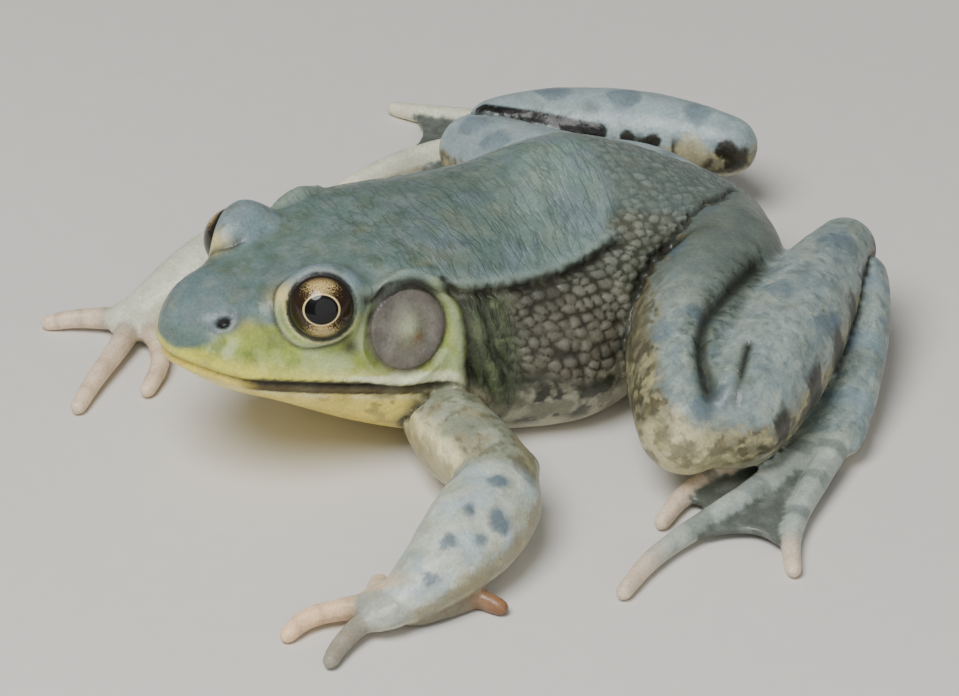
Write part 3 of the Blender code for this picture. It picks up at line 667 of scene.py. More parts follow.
def shape_ridges(skin):
    """The ridge from each eye back along the side, and the fold round the back of the eardrum."""
    offset, gap, along = skin.ridge
    strength = step(0, 0.05, along) * (1 - step(0.92, 1, along)) * skin.part("head", "trunk", "eardrum")
    below = step(-0.2, 0.9, offset[:, 0] * 0.6 - offset[:, 2] * 0.8) * step(5.6, 6.1, skin.drum)
    skin.push(strength * (0.58 * near(gap, 0.9) - 0.55 * near(gap - 1.35, 0.55) * below))
    offset, gap, _ = skin.fold
    outside = skin.part("head", "trunk", "lower_jaw") * step(0.3, 0.7, skin.out) * step(5.8, 6.3, skin.drum)
    behind = step(-0.2, 0.6, offset[:, 0])
    skin.push(outside * (0.36 * near(gap, 0.7) - 0.65 * near(gap - 1.35, 0.6) * behind))
    edge = near(skin.y - 61.2 - 1.2 * (skin.cloud(3, 7) - 0.5), 1.4)
    skin.push(0.3 * edge * back_skin(skin) * step(2, 5, skin.x))


def shape_creases(skin):
    """The folds where one part of a limb is pressed against the next."""
    for line, wide, depth in skin.creases:
        skin.push(-depth * (0.7 * line + 0.3 * wide))
    for first, second, depth in (
        ("shank", "tarsus", 0.45),
        ("thigh_right", "shank_right", 0.9),
        ("trunk", "thigh", 0.6),
        ("lower_jaw", "upper_arm", 0.8),
        ("trunk", "upper_arm", 0.35),
    ):
        skin.push(-depth * skin.seam(first, second))


def rump_skin(skin):
    """1 on the rough skin behind the hump of the back."""
    wobble = 1.6 * (skin.cloud(3, 3) - 0.5)
    return step(61, 62.6, skin.y + wobble)


def back_skin(skin):
    """1 on the blue-grey skin between the ridges."""
    loose = step(56, 64, skin.y)
    wander = 3 * loose * (skin.cloud(3.5, 4) - 0.5)
    edge = step(-0.3 - 1.4 * loose, 0.5 + 1.6 * loose, skin.over_ridge + wander)
    return skin.part("trunk", "head", "eardrum", rounds=2) * edge


def wrinkles(skin):
    """1 on the fine wrinkles that run outwards and a little forwards over the back, and 0 between."""
    x, y, z = skin.half.T
    run = np.column_stack([x * 0.3, y + 0.3 * x, z * 0.2]) / 1.9
    some = step(0.34, 0.58, skin.cloud(6, 22)) * step(24, 31, y) * step(60.5, 57, y)
    return threads(run, 23, 0.09) * back_skin(skin) * (0.25 + 0.75 * some)


def leg_wrinkles(skin):
    """1 on the short wrinkles that run across from the crease behind the left thigh."""
    gap, along = skin.knee_gap, skin.knee_along
    fans = np.column_stack([along * 34, gap * 0.28])
    return threads(fans, 29, 0.1) * step(4.2, 0.8, gap) * step(0.95, 0.6, along) * skin.part("thigh")


def flank_grains(skin, size):
    """The warts of the flanks and rump, as height and a random number for each."""
    arc = np.arctan2(skin.z - 12, skin.x) * 20
    rows = np.column_stack([(skin.y + 0.35 * arc) * 0.86, arc * 1.05])
    rows = rows + 0.9 * np.column_stack([skin.cloud(3, 5), skin.cloud(3, 6)])
    return grains(rows, size, 11, loose=0.8)


def warty(skin):
    """1 where the skin has warts."""
    side = step(0.3, -0.5, skin.over_ridge) * step(6, 10.5, skin.z) * step(37, 42, skin.y)
    rump = 0.45 * rump_skin(skin) * step(-0.3, 0.5, skin.over_ridge)
    return skin.part("trunk") * np.clip(side + rump, 0, 1) * step(-0.5, -0.1, skin.up)


def neck_side(skin):
    """1 on the folded skin between the eardrum and the warts of the flank."""
    neck = skin.part("trunk", "head") * step(33.4, 35.2, skin.y) * (1 - step(38.5, 43, skin.y))
    return neck * step(0, -1, skin.over_ridge) * step(5, 8, skin.z)


def neck_folds(skin):
    """1 on the upright folds behind the eardrum, and 0 between."""
    return threads(np.column_stack([skin.y + 0.25 * skin.z, skin.z * 0.16]) / 1.3, 41, 0.1)


def shape_texture(skin, settings):
    """Warts, wrinkles and fine folds."""
    dome, own = flank_grains(skin, settings.grain / MM)
    height = 0.4 * dome * (0.45 + 0.55 * own) - 0.14
    lines = -0.12 * wrinkles(skin) - 0.16 * leg_wrinkles(skin)
    folds = (0.12 - 0.34 * neck_folds(skin)) * neck_side(skin)
    limbs = skin.part(*PARTS)
    lumps = -0.06 * threads(skin.places / 1.6, 51, 0.09) * limbs
    lumps += 0.14 * (skin.cloud(2.6, 52) - 0.5) * (1 - 0.6 * skin.face)
    skin.push(warty(skin) * height + lines + folds + lumps)


def settle(skin):
    """Keeps the whole skin on or above the ground."""
    places = skin.places.copy()
    places[:, 2] = np.maximum(places[:, 2], 0)
    skin.write(places)


# ---------------------------------------------------------------- the skin's colours


class Paint:
    """A colour for each vertex, laid on in coats."""

    def __init__(self, count, colour):
        self.colour = np.tile(np.array(colour, float), (count, 1))

    def lay(self, mask, *coats):
        """Lays coats within a mask, each a linear colour or an sRGB hex value and how thickly it covers."""
        for colour, thickness in coats:
            colour = linear(colour) if isinstance(colour, str) else colour
            cover = np.clip(mask * thickness, 0, 1)[:, None]
            self.colour = self.colour * (1 - cover) + np.array(colour) * cover


def limb_run(skin, name, side):
    """For one limb part, how far along it each vertex lies, from 0 where it starts to 1 at its far end."""
    parents = {"upper_arm": "trunk", "forearm": "upper_arm", "hand": "forearm", "finger": "hand"}
    parents |= {"thigh": "trunk", "shank": "thigh", "tarsus": "shank", "foot": "tarsus", "toe": "foot"}
    own = places_of(frame["nodes"][f"{name}_{side}"])
    parent = parents[name.rsplit("_", 1)[0] if name[-1].isdigit() else name]
    before = places_of(frame["nodes"][parent if parent == "trunk" else f"{parent}_{side}"]).mean(axis=0)
    middle = own.mean(axis=0)
    axis = np.linalg.svd(own - middle, full_matrices=False)[2][0]
    axis = axis if (middle - before) @ axis > 0 else -axis
    reach = (own - middle) @ axis
    return ((skin.places - middle) @ axis - reach.min()) / (reach.max() - reach.min())


def bars(along, times, width, wobble):
    """Dark bands across a limb, so many of them, each taking this share of its room."""
    wave = (along * times + wobble) % 1.0
    return step(width + 0.06, width - 0.06, np.abs(wave - 0.5) * 2)


def blots(skin, size, seed, share):
    """Irregular blots about this size, covering about this share of the skin."""
    rough = 0.8 * skin.cloud(size, seed) + 0.2 * skin.cloud(size * 0.3, seed + 1)
    edge = 0.5 + 0.32 * (0.5 - share)
    return step(edge - 0.02, edge + 0.03, rough)


def paint_flanks(skin, lay, s):
    y, z = skin.y, skin.z
    body, warts = skin.part("trunk"), warty(skin)
    patches = skin.cloud(5, 62)
    dome, own = flank_grains(skin, s.grain / MM)

    # brown in front and a greyer green above and behind
    high = step(16, 25, z + 0.3 * (y - 52) + 4 * (patches - 0.5))
    lay(body, (s.flank, 1), ("#5A6155", high * 0.85), ("#625E4C", blots(skin, 2.4, 68, 0.4) * 0.45))
    lay(step(0.15, 0.75, dome) * warts * (0.15 + 0.45 * own), (s.wart, 1), ("#8D9385", high))
    # painted shade in the narrow gaps between the warts, and a darker band below the ridge in front
    lay(
        warts,
        ("#25231A", step(0.26, 0.03, dome) * (0.8 - 0.35 * high)),
        ("#302D24", step(-5.5, -1, skin.over_ridge) * step(58, 50, y) * 0.6),
    )

    # the lower flank is netted with black, grey and yellow, and the belly is plain
    lay(
        body * step(10.8, 8.4, z + 3 * (patches - 0.5)),
        ("#7C7B67", 0.9),
        ("#A5A48E", blots(skin, 1.8, 63, 0.46) * 0.8),
        ("#23261E", blots(skin, 2.6, 69, 0.4) * 0.9),
    )
    lay(body, ("#1E211A", near(z - 10.2 - 2 * (patches - 0.5), 0.9) * step(47, 41, y) * 0.8))
    under = step(-0.45, -0.85, skin.up)
    lay(body * under, (s.belly, 1), ("#8D8A76", step(0.55, 0.7, skin.cloud(4, 64)) * 0.5))


def paint_back(skin, lay, s):
    x, y, _ = skin.half.T
    back, patches = back_skin(skin), skin.cloud(5, 62)
    dome, own = flank_grains(skin, s.grain / MM)
    # the hump is a paler blue-grey: partly its own colour, partly a painted highlight on its top
    hump = step(41, 52, y) * step(66, 58, y)
    lay(
        back,
        (s.back, 1),
        ("#65766A", step(0.4, 0.7, patches) * 0.6),
        ("#82978F", hump * (0.4 + 0.35 * skin.cloud(7, 65))),
        ("#7A8690", blots(skin, 3.4, 66, 0.3) * 0.45),
        ("#56675F", blots(skin, 2, 61, 0.35) * 0.4),
        ("#506159", near(y - 45, 8) * near(x - 4, 7) * 0.45),
        ("#46554F", near(x, 1.2) * step(24, 30, y) * step(56, 48, y) * 0.3),
    )
    # the rough rump behind the hump: its grains paler on top, with painted shade in the gaps between them
    lay(
        back * step(59, 65, y + 2 * (patches - 0.5)),
        ("#66716A", 0.85),
        ("#87928A", step(0.2, 0.7, dome) * (0.1 + 0.5 * own)),
        ("#3E4A44", step(0.25, 0.05, dome) * 0.35),
    )
    # painted shade in the grooves of the fine wrinkles
    lay(wrinkles(skin), ("#3F4F49", 0.4))

    # green skin behind the eardrum, with painted shade in the grooves between its upright folds
    lay(
        skin.part("trunk") * neck_side(skin),
        ("#414B34", 0.8 + 0.2 * patches),
        ("#6F7D58", blots(skin, 1.8, 67, 0.35) * 0.5),
        ("#1F2219", neck_folds(skin) * 0.85),
    )


def paint_face(skin, lay, s):
    y, up, face, above = skin.y, skin.up, skin.face, skin.above_mouth
    patches = skin.cloud(3, 71)
    top = step(0.2, 0.8, up)
    lay(
        face,
        (s.back, 1),
        ("#627678", step(0.3, 0.9, up) * step(16, 3, y) * 0.85),
        ("#54624F", blots(skin, 2.4, 72, 0.42) * top * step(3, 9, y) * 0.5),
        ("#74807F", blots(skin, 1.4, 78, 0.3) * top * 0.5),
        ("#C2C6AE", step(0.2, -0.3, up) * step(6, 2, y) * step(1.5, 4, above) * 0.6),
    )

    # the face below the line from the nostril to the eye is green, and the lip yellow
    level = read_off(FACE_EDGE, y)[0] + 1.1 * (patches - 0.5)
    pale = 0.6 + 0.4 * step(18, 26, y)
    lay(
        face * step(0.6, -0.6, skin.z - level) * step(-0.3, 0.1, above),
        (s.green, 1),
        ("#8D9C3C", blots(skin, 3.2, 70, 0.45) * step(1.5, 3.5, above) * 0.7),
        ("#BCCB92", step(0.45, 0.7, skin.cloud(2.6, 76)) * 0.75),
        ("#727F38", blots(skin, 2.2, 73, 0.32) * step(15, 9, y) * 0.75),
        (s.lip, step(3.4, 1, above) * (0.55 + 0.45 * patches)),
        ("#F3F6CC", band(above - 0.35 - pale, pale) * step(14, 22, y) * 0.9),
        ("#D2C838", step(14, 5, y) * step(3.6, 1.2, above) * 0.75),
        ("#D8D45E", near(above - 1.1, 0.5) * step(20, 14, y) * 0.6),
    )
    lay(
        face,
        ("#9B9B4C", skin.spot((6.9, 7.6, 23.4), 1.1, (1, 0.6, 1.4)) * 0.95),
        ("#4B4B33", skin.spot((7.6, 9.8, 23.3), 0.6, (1, 0.7, 1.6)) * 0.7),
        ("#A9B2A0", skin.spot((5.6, 3.9, 22.7), 0.8) * 0.5),
    )

    # throat and lower lip
    lay(
        face * step(0.15, -0.15, above),
        (s.throat, 1),
        ("#F2EBB0", near(above + 1.6, 0.5) * 0.8),
        ("#F0D860", step(0.4, 0.7, patches) * 0.8),
        ("#84784A", blots(skin, 2, 74, 0.3) * step(-1.6, -2.4, above) * step(-0.9, -0.3, up) * 0.65),
    )


def paint_mouth_and_nostrils(skin, lay):
    """The dark line of the mouth, a brown band with painted shade in the slit between the jaws, starts behind
    the front of the snout.
    """
    above = skin.above_mouth
    rear = step(4, 8, skin.y)
    dashes = step(0.5, 0.62, cloud(skin.half * (1, 1, 0.3), 2.6, 75)) * step(10, 14, skin.y)
    lay(
        skin.mouth,
        ("#4B4028", band(above + 0.1, 0.45 + 0.55 * rear) * (0.15 + 0.82 * rear)),
        ("#211C14", band(above - 0.2, 0.22 + 0.24 * rear) * (0.5 + 0.45 * rear)),
        ("#2F281A", band(above + 1, 0.16) * rear * step(0.35, 0.5, cloud(skin.half, 3, 79)) * 0.8),
        ("#5A4F2C", near(above + 1.5, 0.5) * dashes * 0.6),
    )
    # a grey-purple ring round each nostril, and the hole itself painted near-black as shade
    lay(skin.face, ("#515A5F", step(2.3, 1.1, skin.nostril) * 0.8))
    lay(skin.face, ("#0A0909", step(1.05, 0.7, skin.nostril)))


def paint_eyelids(skin, lay):
    behind, height = skin.y - EYE[1], skin.z - EYE[2]
    lid, front = step(6.4, 5.4, skin.eye), below_lid(skin)
    over = step(-1, 2, height + 0.3 * behind)
    rear = step(0.25, 0.85, behind / skin.eye) * step(3.2, 1, height)
    # among these coats: a painted highlight on top of the upper lid, painted shade where the lids meet the
    # eyeball, and painted shade in the fold below the eye
    lay(
        skin.face,
        ("#74898F", lid * over * 0.85),
        ("#858B90", skin.spot(EYE + (0.5, -0.5, 5.2), 2.4) * 0.5),
        ("#55645A", lid * over * blots(skin, 2, 77, 0.3) * 0.5),
        ("#8F9F55", lid * (1 - over) * 0.75),
        ("#DECB86", skin.spot(LID_WEDGE, 1.5) * 0.95),
        ("#D6CC98", band(skin.eye - 4.85, 0.1) * (0.15 + 0.65 * (1 - over))),
        ("#1D1812", step(4.74, 4.6, skin.eye) * 0.95),
        ("#33352A", near(skin.lid_fold, 0.26) * front * 0.85),
        ("#C9CFAA", near(skin.lid_fold + 0.4, 0.18) * front * (1 - over) * 0.5),
        ("#56634F", step(7.2, 5.6, skin.eye) * rear * 0.75),
        ("#36362E", skin.spot(CHEEK_SPOT, 1.25, (1, 0.8, 1)) * 0.95),
    )


def paint_eardrums(skin, lay):
    drum = skin.drum
    upper = step(-3, 3, skin.z - EARDRUM[2])
    # the dark ring round the edge lies in the groove there: its own dark outline with painted shade, heavier
    # on the upper side
    lay(
        (np.abs(skin.drum_out) < 3) * skin.face,
        ("#A9B592", near(drum - 6.6, 0.4) * 0.25),
        ("#665F57", step(5.9, 5.5, drum)),
        ("#807B74", step(5.2, 4, drum) * (0.2 + 0.8 * skin.cloud(1.2, 81))),
        ("#5A544D", step(5.5, 5, drum) * blots(skin, 1.5, 82, 0.35) * 0.5),
        ("#8C9078", skin.spot(EARDRUM + (0.4, 0.1, 0.1), 2.1, (0.3, 1.05, 0.85)) * 0.95),
        ("#A0A486", skin.spot(EARDRUM + (0.4, -0.2, 0.4), 1.1, (0.3, 1, 1)) * 0.8),
        ("#7A5632", skin.spot(EARDRUM + (0.4, 0.9, -1.2), 0.8, (0.3, 1, 1)) * 0.9),
        ("#25231B", near(drum - EARDRUM_RADIUS, 0.33) * (0.55 + 0.4 * upper)),
    )


def paint_ridges(skin, lay, s):
    """The ridges have a pale crest, partly their own colour and partly a painted highlight, and a painted
    shadow below them, and so have the folds behind the eardrums.
    """
    offset, gap, along = skin.ridge
    ends = step(0, 0.03, along) * (1 - step(0.95, 1, along))
    below = step(-0.1, 0.5, offset[:, 0] * 0.6 - offset[:, 2] * 0.8) * step(5.2, 5.7, skin.drum)
    narrow = step(33, 29, skin.y)
    lay(
        skin.part("head", "trunk", "eardrum") * ends,
        ("#7F9088", near(gap, 0.9) * 0.8),
        (s.dark, near(gap - 1.35 + 0.2 * narrow, 0.75 - 0.25 * narrow) * below),
    )
    offset, gap, _ = skin.fold
    lay(
        skin.part("head", "trunk", "lower_jaw") * step(0.2, 0.6, skin.out),
        ("#8F9A78", near(gap, 0.8) * step(5.7, 6.1, skin.drum) * 0.75),
        (s.dark, near(gap - 1.35, 0.6) * step(-0.1, 0.5, offset[:, 0]) * 0.95),
    )


def paint_limbs(skin, lay, s):
    """What all the limbs share: mottling, and soft dark spots."""
    limbs = skin.part(*LIMBS, rounds=2)
    lay(limbs, (s.limb, 1))
    lay(skin.part("thigh_left", rounds=4), ("#7C8A84", 0.5))
    lay(
        limbs,
        ("#758687", step(0.45, 0.7, skin.cloud(4.5, 91)) * 0.6),
        ("#A0A898", step(0.5, 0.75, skin.cloud(2.4, 92)) * 0.5),
        ("#6C7F88", blots(skin, 1.1, 89, 0.35) * 0.45),
        ("#66766C", blots(skin, 3, 88, 0.35) * 0.35),
        ("#B3BCB0", blots(skin, 1, 90, 0.28) * 0.3),
        ("#566361", blots(skin, 1, 96, 0.14) * 0.45),
    )
    lay(skin.part("thigh_right", "shank_right", rounds=4), ("#A0B2B5", 0.6))
    lay(
        skin.part("forearm_left", rounds=4) * step(0, 0.3, limb_run(skin, "forearm", "left")),
        ("#CDD2C3", 0.75),
        ("#9FA894", blots(skin, 2.4, 110, 0.4) * 0.5),
        ("#9DB4BC", blots(skin, 3, 111, 0.35) * 0.5),
    )

    # the hip end of the thigh is darker and greener, and wrinkled along the crease, with painted shade in the
    # wrinkles' grooves
    lay(skin.part("thigh_left", rounds=4), ("#5A645C", step(55, 70, skin.places[:, 1]) * 0.9))
    lay(leg_wrinkles(skin), ("#29332D", 0.8))

    dome, own = grains(skin.places, 6.5, 93, loose=0.8)
    ragged = step(0.45, 0.75, dome + 0.5 * (skin.cloud(1.2, 97) - 0.5))
    lay(limbs, (s.spot, ragged * (own > 0.62) * step(0.1, 0.5, skin.up) * 0.55))
    for *place, radius in LIMB_SPOTS:
        lay(limbs, (s.spot, step(radius * 1.2, radius * 0.5, skin.gap(place, 1.3, 1.1, 98)) * 0.85))


def paint_arms(skin, lay, s):
    """The upper arm is olive with brown and cream, and the lower sides of the arms yellowish."""
    up = skin.up
    lay(
        np.clip(1.6 * skin.part("upper_arm", rounds=40) + 0.5 * (skin.cloud(2.4, 100) - 0.5), 0, 1),
        ("#8B8E74", 0.8),
        ("#A9AE97", blots(skin, 3, 101, 0.4) * 0.6),
        ("#8F8360", blots(skin, 2.2, 108, 0.3) * 0.6),
        ("#5E5A45", blots(skin, 1.3, 102, 0.2) * 0.6),
    )
    inner = step(-0.25, -0.65, skin.normals[:, 1] + 0.4 * up)
    lay(skin.part("upper_arm_left", rounds=4) * inner, ("#EDE4B4", 0.85))
    lay(
        skin.part("forearm", rounds=2) + skin.part("upper_arm", rounds=5),
        ("#A39A72", step(0.75, 0.3, up) * blots(skin, 1.8, 109, 0.45) * 0.55),
        ("#938A66", step(0.42, 0.05, up) * 0.8),
        ("#B9AE82", step(0.3, -0.05, up) * blots(skin, 2.4, 103, 0.45) * 0.7),
    )
    lay(skin.part(*LIMBS, rounds=2), (s.belly, step(-0.25, -0.7, up)))


def paint_legs(skin, lay):
    """The front and lower sides of the legs are ochre with dark blots and cream."""
    up = skin.up
    away = np.linalg.norm(skin.places - KNEE, axis=1)
    front = skin.part("thigh_left", rounds=2) * step(0.38, 0.66, -skin.normals[:, 1]) * step(0.9, 0.7, up)
    knee = skin.part("thigh_left", "shank_left", rounds=2) * step(9, 4, away)
    lower = skin.part("thigh", "shank", rounds=2) * step(0.34, 0.08, up) + front
    lower = np.clip(lower, 0, 1) * step(-0.8, -0.4, up)
    lay(
        np.clip(lower + knee * step(0.75, 0.35, up), 0, 1),
        ("#7F7858", 0.85),
        ("#AFA679", blots(skin, 1.3, 104, 0.42) * 0.7),
        ("#3A3527", blots(skin, 1.3, 94, 0.4) * 0.75),
    )
    lay(knee, ("#D6CEA0", blots(skin, 2, 95, 0.48) * step(0.9, 0.3, up) * 0.75))
    lay(front, ("#5A5543", step(50, 57, skin.places[:, 1]) * 0.6))
    lay(knee, ("#D9D0A4", step(0.9, 0.4, up) * 0.25))


def paint_digit(skin, lay, s, name, side):
    """A finger or a toe, from its root to its paler tip."""
    run = limb_run(skin, name, side)
    on = skin.part(f"{name}_{side}", rounds=2)
    if name.startswith("finger"):
        colour = FINGER_COLOURS.get(f"{name}_{side}", s.digit)
        joints = near((run * 3.2) % 1 - 0.5, 0.13)
        lay(on, (colour, 0.6 + 0.4 * step(0, 0.4, run)), ("#A98F74", joints * 0.35))
        return
    tip = 0.25 if name == "toe_3" else 0.7
    dark = bars(run, 4, 0.3, 0.3 * skin.cloud(4, 105)) * step(-0.2, 0.3, skin.up)
    lay(
        on,
        ("#B7BDB0", 0.6),
        (s.digit, step(tip, tip + 0.2, run) * 0.9),
        ("#5B6966", dark * step(0.8, 0.6, run) * 0.55),
        ("#4C4A3E", step(0.25, -0.2, skin.up) * step(0.5, 0.2, run) * 0.5),
    )


def paint_digits_and_bars(skin, lay, s):
    x, y, _ = skin.places.T
    sides = step(-0.6, -0.2, skin.up) * step(0.55, 0.25, skin.up)
    for side in ("left", "right"):
        for name in DIGITS:
            paint_digit(skin, lay, s, name, side)
        lay(skin.part(f"hand_{side}", rounds=8), ("#BDB9A6", 0.55))
        for name, times, strength in (("shank", 6, 0.95), ("tarsus", 4, 0.35)):
            dark = bars(limb_run(skin, name, side), times, 0.44, 0.3 * skin.cloud(4, 106))
            lay(skin.part(f"{name}_{side}", rounds=2), (s.dark, dark * sides * strength))
    lay(skin.part("tarsus"), ("#7C93A0", bars(limb_run(skin, "tarsus", "left"), 3, 0.3, 0.2) * 0.4))
    # painted shadow on the root of the left fourth finger, where it lies under the forearm
    lay(skin.part("finger_4_left"), ("#7C7762", step(19, 16, y) * 0.95))
    palm = step(2.6, 0.6, x - 1.1 * y - 33) * step(10.5, 8, y)
    lay(skin.part("hand_left", "forearm_left", rounds=2) * palm, ("#DDBE9C", 0.7))


def paint_right_limbs(skin, lay, s):
    """The pale right arm and toes, the painted shade in the gap between the right shank and thigh, and the
    dark bars below it.
    """
    pale = skin.part("forearm_right", "hand_right", "toe_4_right", "toe_5_right")
    lay(pale, ("#E6E6C9", 0.58 + 0.3 * skin.cloud(3, 107)))
    shank, line = skin.part("shank_right"), from_line(skin.places, FAR_GAP_SHADE)[1]
    # painted shade along the gap between the right shank and the thigh, laid on both of them
    lay(shank, ("#12110D", step(1.3, 1, line)))
    lay(skin.part("thigh_right"), ("#12110D", step(1.1, 0.7, line)))
    lay(shank, ("#B0A988", step(2.8, 1.7, skin.gap(FAR_HEEL, 1.2, 1.1, 112)) * 0.85))
    legs = skin.part("thigh", "shank", rounds=2)
    for *place, radius in FAR_BARS:
        lay(legs, (s.dark, step(radius * 1.1, radius * 0.8, skin.gap(place, 0.6, 0.9, 98))))


def paint_webs(skin, lay):
    lay(skin.part("web", rounds=2), ("#565C54", 1), ("#7B8078", step(0.5, 0.7, skin.cloud(1.5, 99)) * 0.6))


def paint_crease_shade(skin, lay, s):
    # painted shade along the leg creases and the seams where one part presses against the next
    for line, wide, _ in skin.creases:
        lay(1, ("#38402F", wide * 0.55), ("#1D1F18", line * 0.95))
    for first, second, rounds, colour, cover in (
        ("thigh_right", "shank_right", 4, s.dark, 0.9),
        ("shank", "tarsus", 4, s.dark, 0.9),
        ("trunk", "thigh_left", 4, s.dark, 0.9),
        ("lower_jaw", "upper_arm", 3, "#3A3623", 0.9),
        ("trunk", "upper_arm", 3, "#3A3623", 0.6),
    ):
        lay(skin.seam(first, second, rounds), (colour, cover))


def paint_all(skin, lay, s):
    """Every coat in its order, since a later one covers those below it."""
    paint_flanks(skin, lay, s)
    paint_back(skin, lay, s)
    paint_face(skin, lay, s)
    paint_mouth_and_nostrils(skin, lay)
    paint_eyelids(skin, lay)
    paint_eardrums(skin, lay)
    paint_ridges(skin, lay, s)
    paint_limbs(skin, lay, s)
    paint_arms(skin, lay, s)
    paint_legs(skin, lay)
    paint_digits_and_bars(skin, lay, s)
    paint_right_limbs(skin, lay, s)
    paint_webs(skin, lay)
    paint_crease_shade(skin, lay, s)


def store_colour(skin, name, colours):
    rows = np.column_stack([np.clip(colours, 0, 1), np.ones(len(colours))]).astype(np.float32)
    layer = skin.obj.data.color_attributes.new(name, "FLOAT_COLOR", "POINT")
    layer.data.foreach_set("color", rows.ravel())


def thin_out(skin, paint, settings):
    """Fewer triangles where the skin is plain, and all of them kept where its colour or shape is busy."""
    contrast = np.linalg.norm(paint.colour - skin.spread(paint.colour, 2), axis=1)
    busy = np.clip(skin.spread(contrast, 2) * 14, 0, 1)
    busy = np.clip(busy + 0.5 * skin.part("head") + 0.3 * skin.part("finger", "toe"), 0, 1)
    busy = busy * step(-0.9, -0.2, skin.up)
    group = skin.obj.vertex_groups.new(name="plain")
    levels = np.round((1 - busy) * LEVELS).astype(int)
    for level in range(1, LEVELS + 1):
        group.add(np.flatnonzero(levels == level).tolist(), level / LEVELS, "REPLACE")
    skin.obj.data.calc_loop_triangles()
    ratio = settings.triangles / len(skin.obj.data.loop_triangles)
    modify(skin.obj, "DECIMATE", ratio=ratio, vertex_group="plain", vertex_group_factor=1e-5)
    skin.obj.vertex_groups.clear()


def moist_frog_skin():
    """Living skin: soft and slightly waxy below, with a thin wet film that shines softly."""
    material, tree, shader = new_material("moist_frog_skin")
    tint = add_node(tree, "Attribute", attribute_name="tint")
    amounts = add_node(tree, "SeparateColor", [add_node(tree, "Attribute", attribute_name="texture")])
    place = add_node(tree, "TexCoord").outputs["Object"]

    # fine wrinkles, 0.7 to the millimetre across the back, and upright ones behind the eardrum, 1.1 to it
    wrinkle = 0.0
    for turn, per_mm, amount in ((-0.3, 0.7, "Red"), (0.0, 1.1, "Green")):
        run = add_node(tree, "Mapping", {"Vector": place, "Rotation": (0, 0, turn), "Scale": (0.3, 1, 0.3)})
        wave = add_node(tree, "TexNoise", {"Vector": run, "Scale": per_mm / MM, "Detail": 2})
        away = add_node(tree, "Math", [wave, 0.5], operation="SUBTRACT")
        away = add_node(tree, "Math", [away], operation="ABSOLUTE")
        thread = add_node(tree, "MapRange", [away, 0, 0.08, 1, 0])
        wrinkle = add_node(tree, "Math", [thread, amounts.outputs[amount], wrinkle], operation="MULTIPLY_ADD")

    # how many to the millimetre, how detailed and how rough
    noises = []
    for count, detail, rough in ((2.6, 3, 0.7), (0.33, 4, 0.6), (1.9, 2, 0.5), (0.6, 2, 0.5)):
        look = {"Vector": place, "Scale": count / MM, "Detail": detail, "Roughness": rough}
        noises.append(add_node(tree, "TexNoise", look))
    freckles, patches, pebbles, wet = noises
    # tone: random freckles and patches, and darker in the wrinkles as painted shade in their grooves
    tone = add_node(tree, "MapRange", [freckles, 0.35, 0.68, 1.12, 0.84])
    for change in ([patches, 0.3, 0.7, 0.84, 1.16], [wrinkle, 0, 1, 1, 0.8]):
        tone = add_node(tree, "Math", [tone, add_node(tree, "MapRange", change)], operation="MULTIPLY")
    colour = add_node(tree, "VectorMath", {0: tint, "Scale": tone}, operation="SCALE")

    # the wrinkles are sunk, and the rest of the skin is pebbled
    relief = add_node(tree, "Math", [wrinkle, -1, pebbles], operation="MULTIPLY_ADD")
    inputs = {
        "Base Color": colour,
        "Normal": add_node(tree, "Bump", {"Height": relief, "Strength": 0.7, "Distance": 0.11 * MM}),
        "Coat Normal": add_node(tree, "Bump", {"Height": relief, "Strength": 0.5, "Distance": 0.06 * MM}),
        "Roughness": add_node(tree, "MapRange", [wet, 0.3, 0.7, 0.34, 0.56]),
        "IOR": 1.36,
        "Coat Weight": 0.25,
        "Coat Roughness": 0.2,
    }
    fill(tree, shader, inputs)
    return material


class FROG_OT_skin(bpy.types.Operator):
    """Make the frog's skin, in one piece over the whole body"""

    bl_idname = "frog.skin"
    bl_label = "Make the skin"

    def execute(self, context):
        settings = context.scene.frog_skin
        obj, parts = one_skin(settings)
        skin = Surface(obj, parts)
        joined_softly(skin)
        skin.measure()
        shape_face(skin)
        shape_ridges(skin)
        shape_creases(skin)
        shape_texture(skin, settings)
        settle(skin)
        paint = Paint(skin.count, settings.back)
        paint_all(skin, paint.lay, settings)
        store_colour(skin, "tint", paint.colour)
        # where the fine wrinkles of the back lie, and those behind the eardrum
        back = back_skin(skin) * step(22, 30, skin.y) * (1 - rump_skin(skin))
        store_colour(skin, "texture", np.column_stack([back, neck_side(skin), np.zeros(skin.count)]))
        thin_out(skin, paint, settings)
        obj.data.materials.clear()
        obj.data.materials.append(moist_frog_skin())
        only(obj)
        bpy.ops.object.shade_smooth()
        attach(obj, "root")
        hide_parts(*FLESH)
        return {"FINISHED"}


# ---------------------------------------------------------------- the eyes


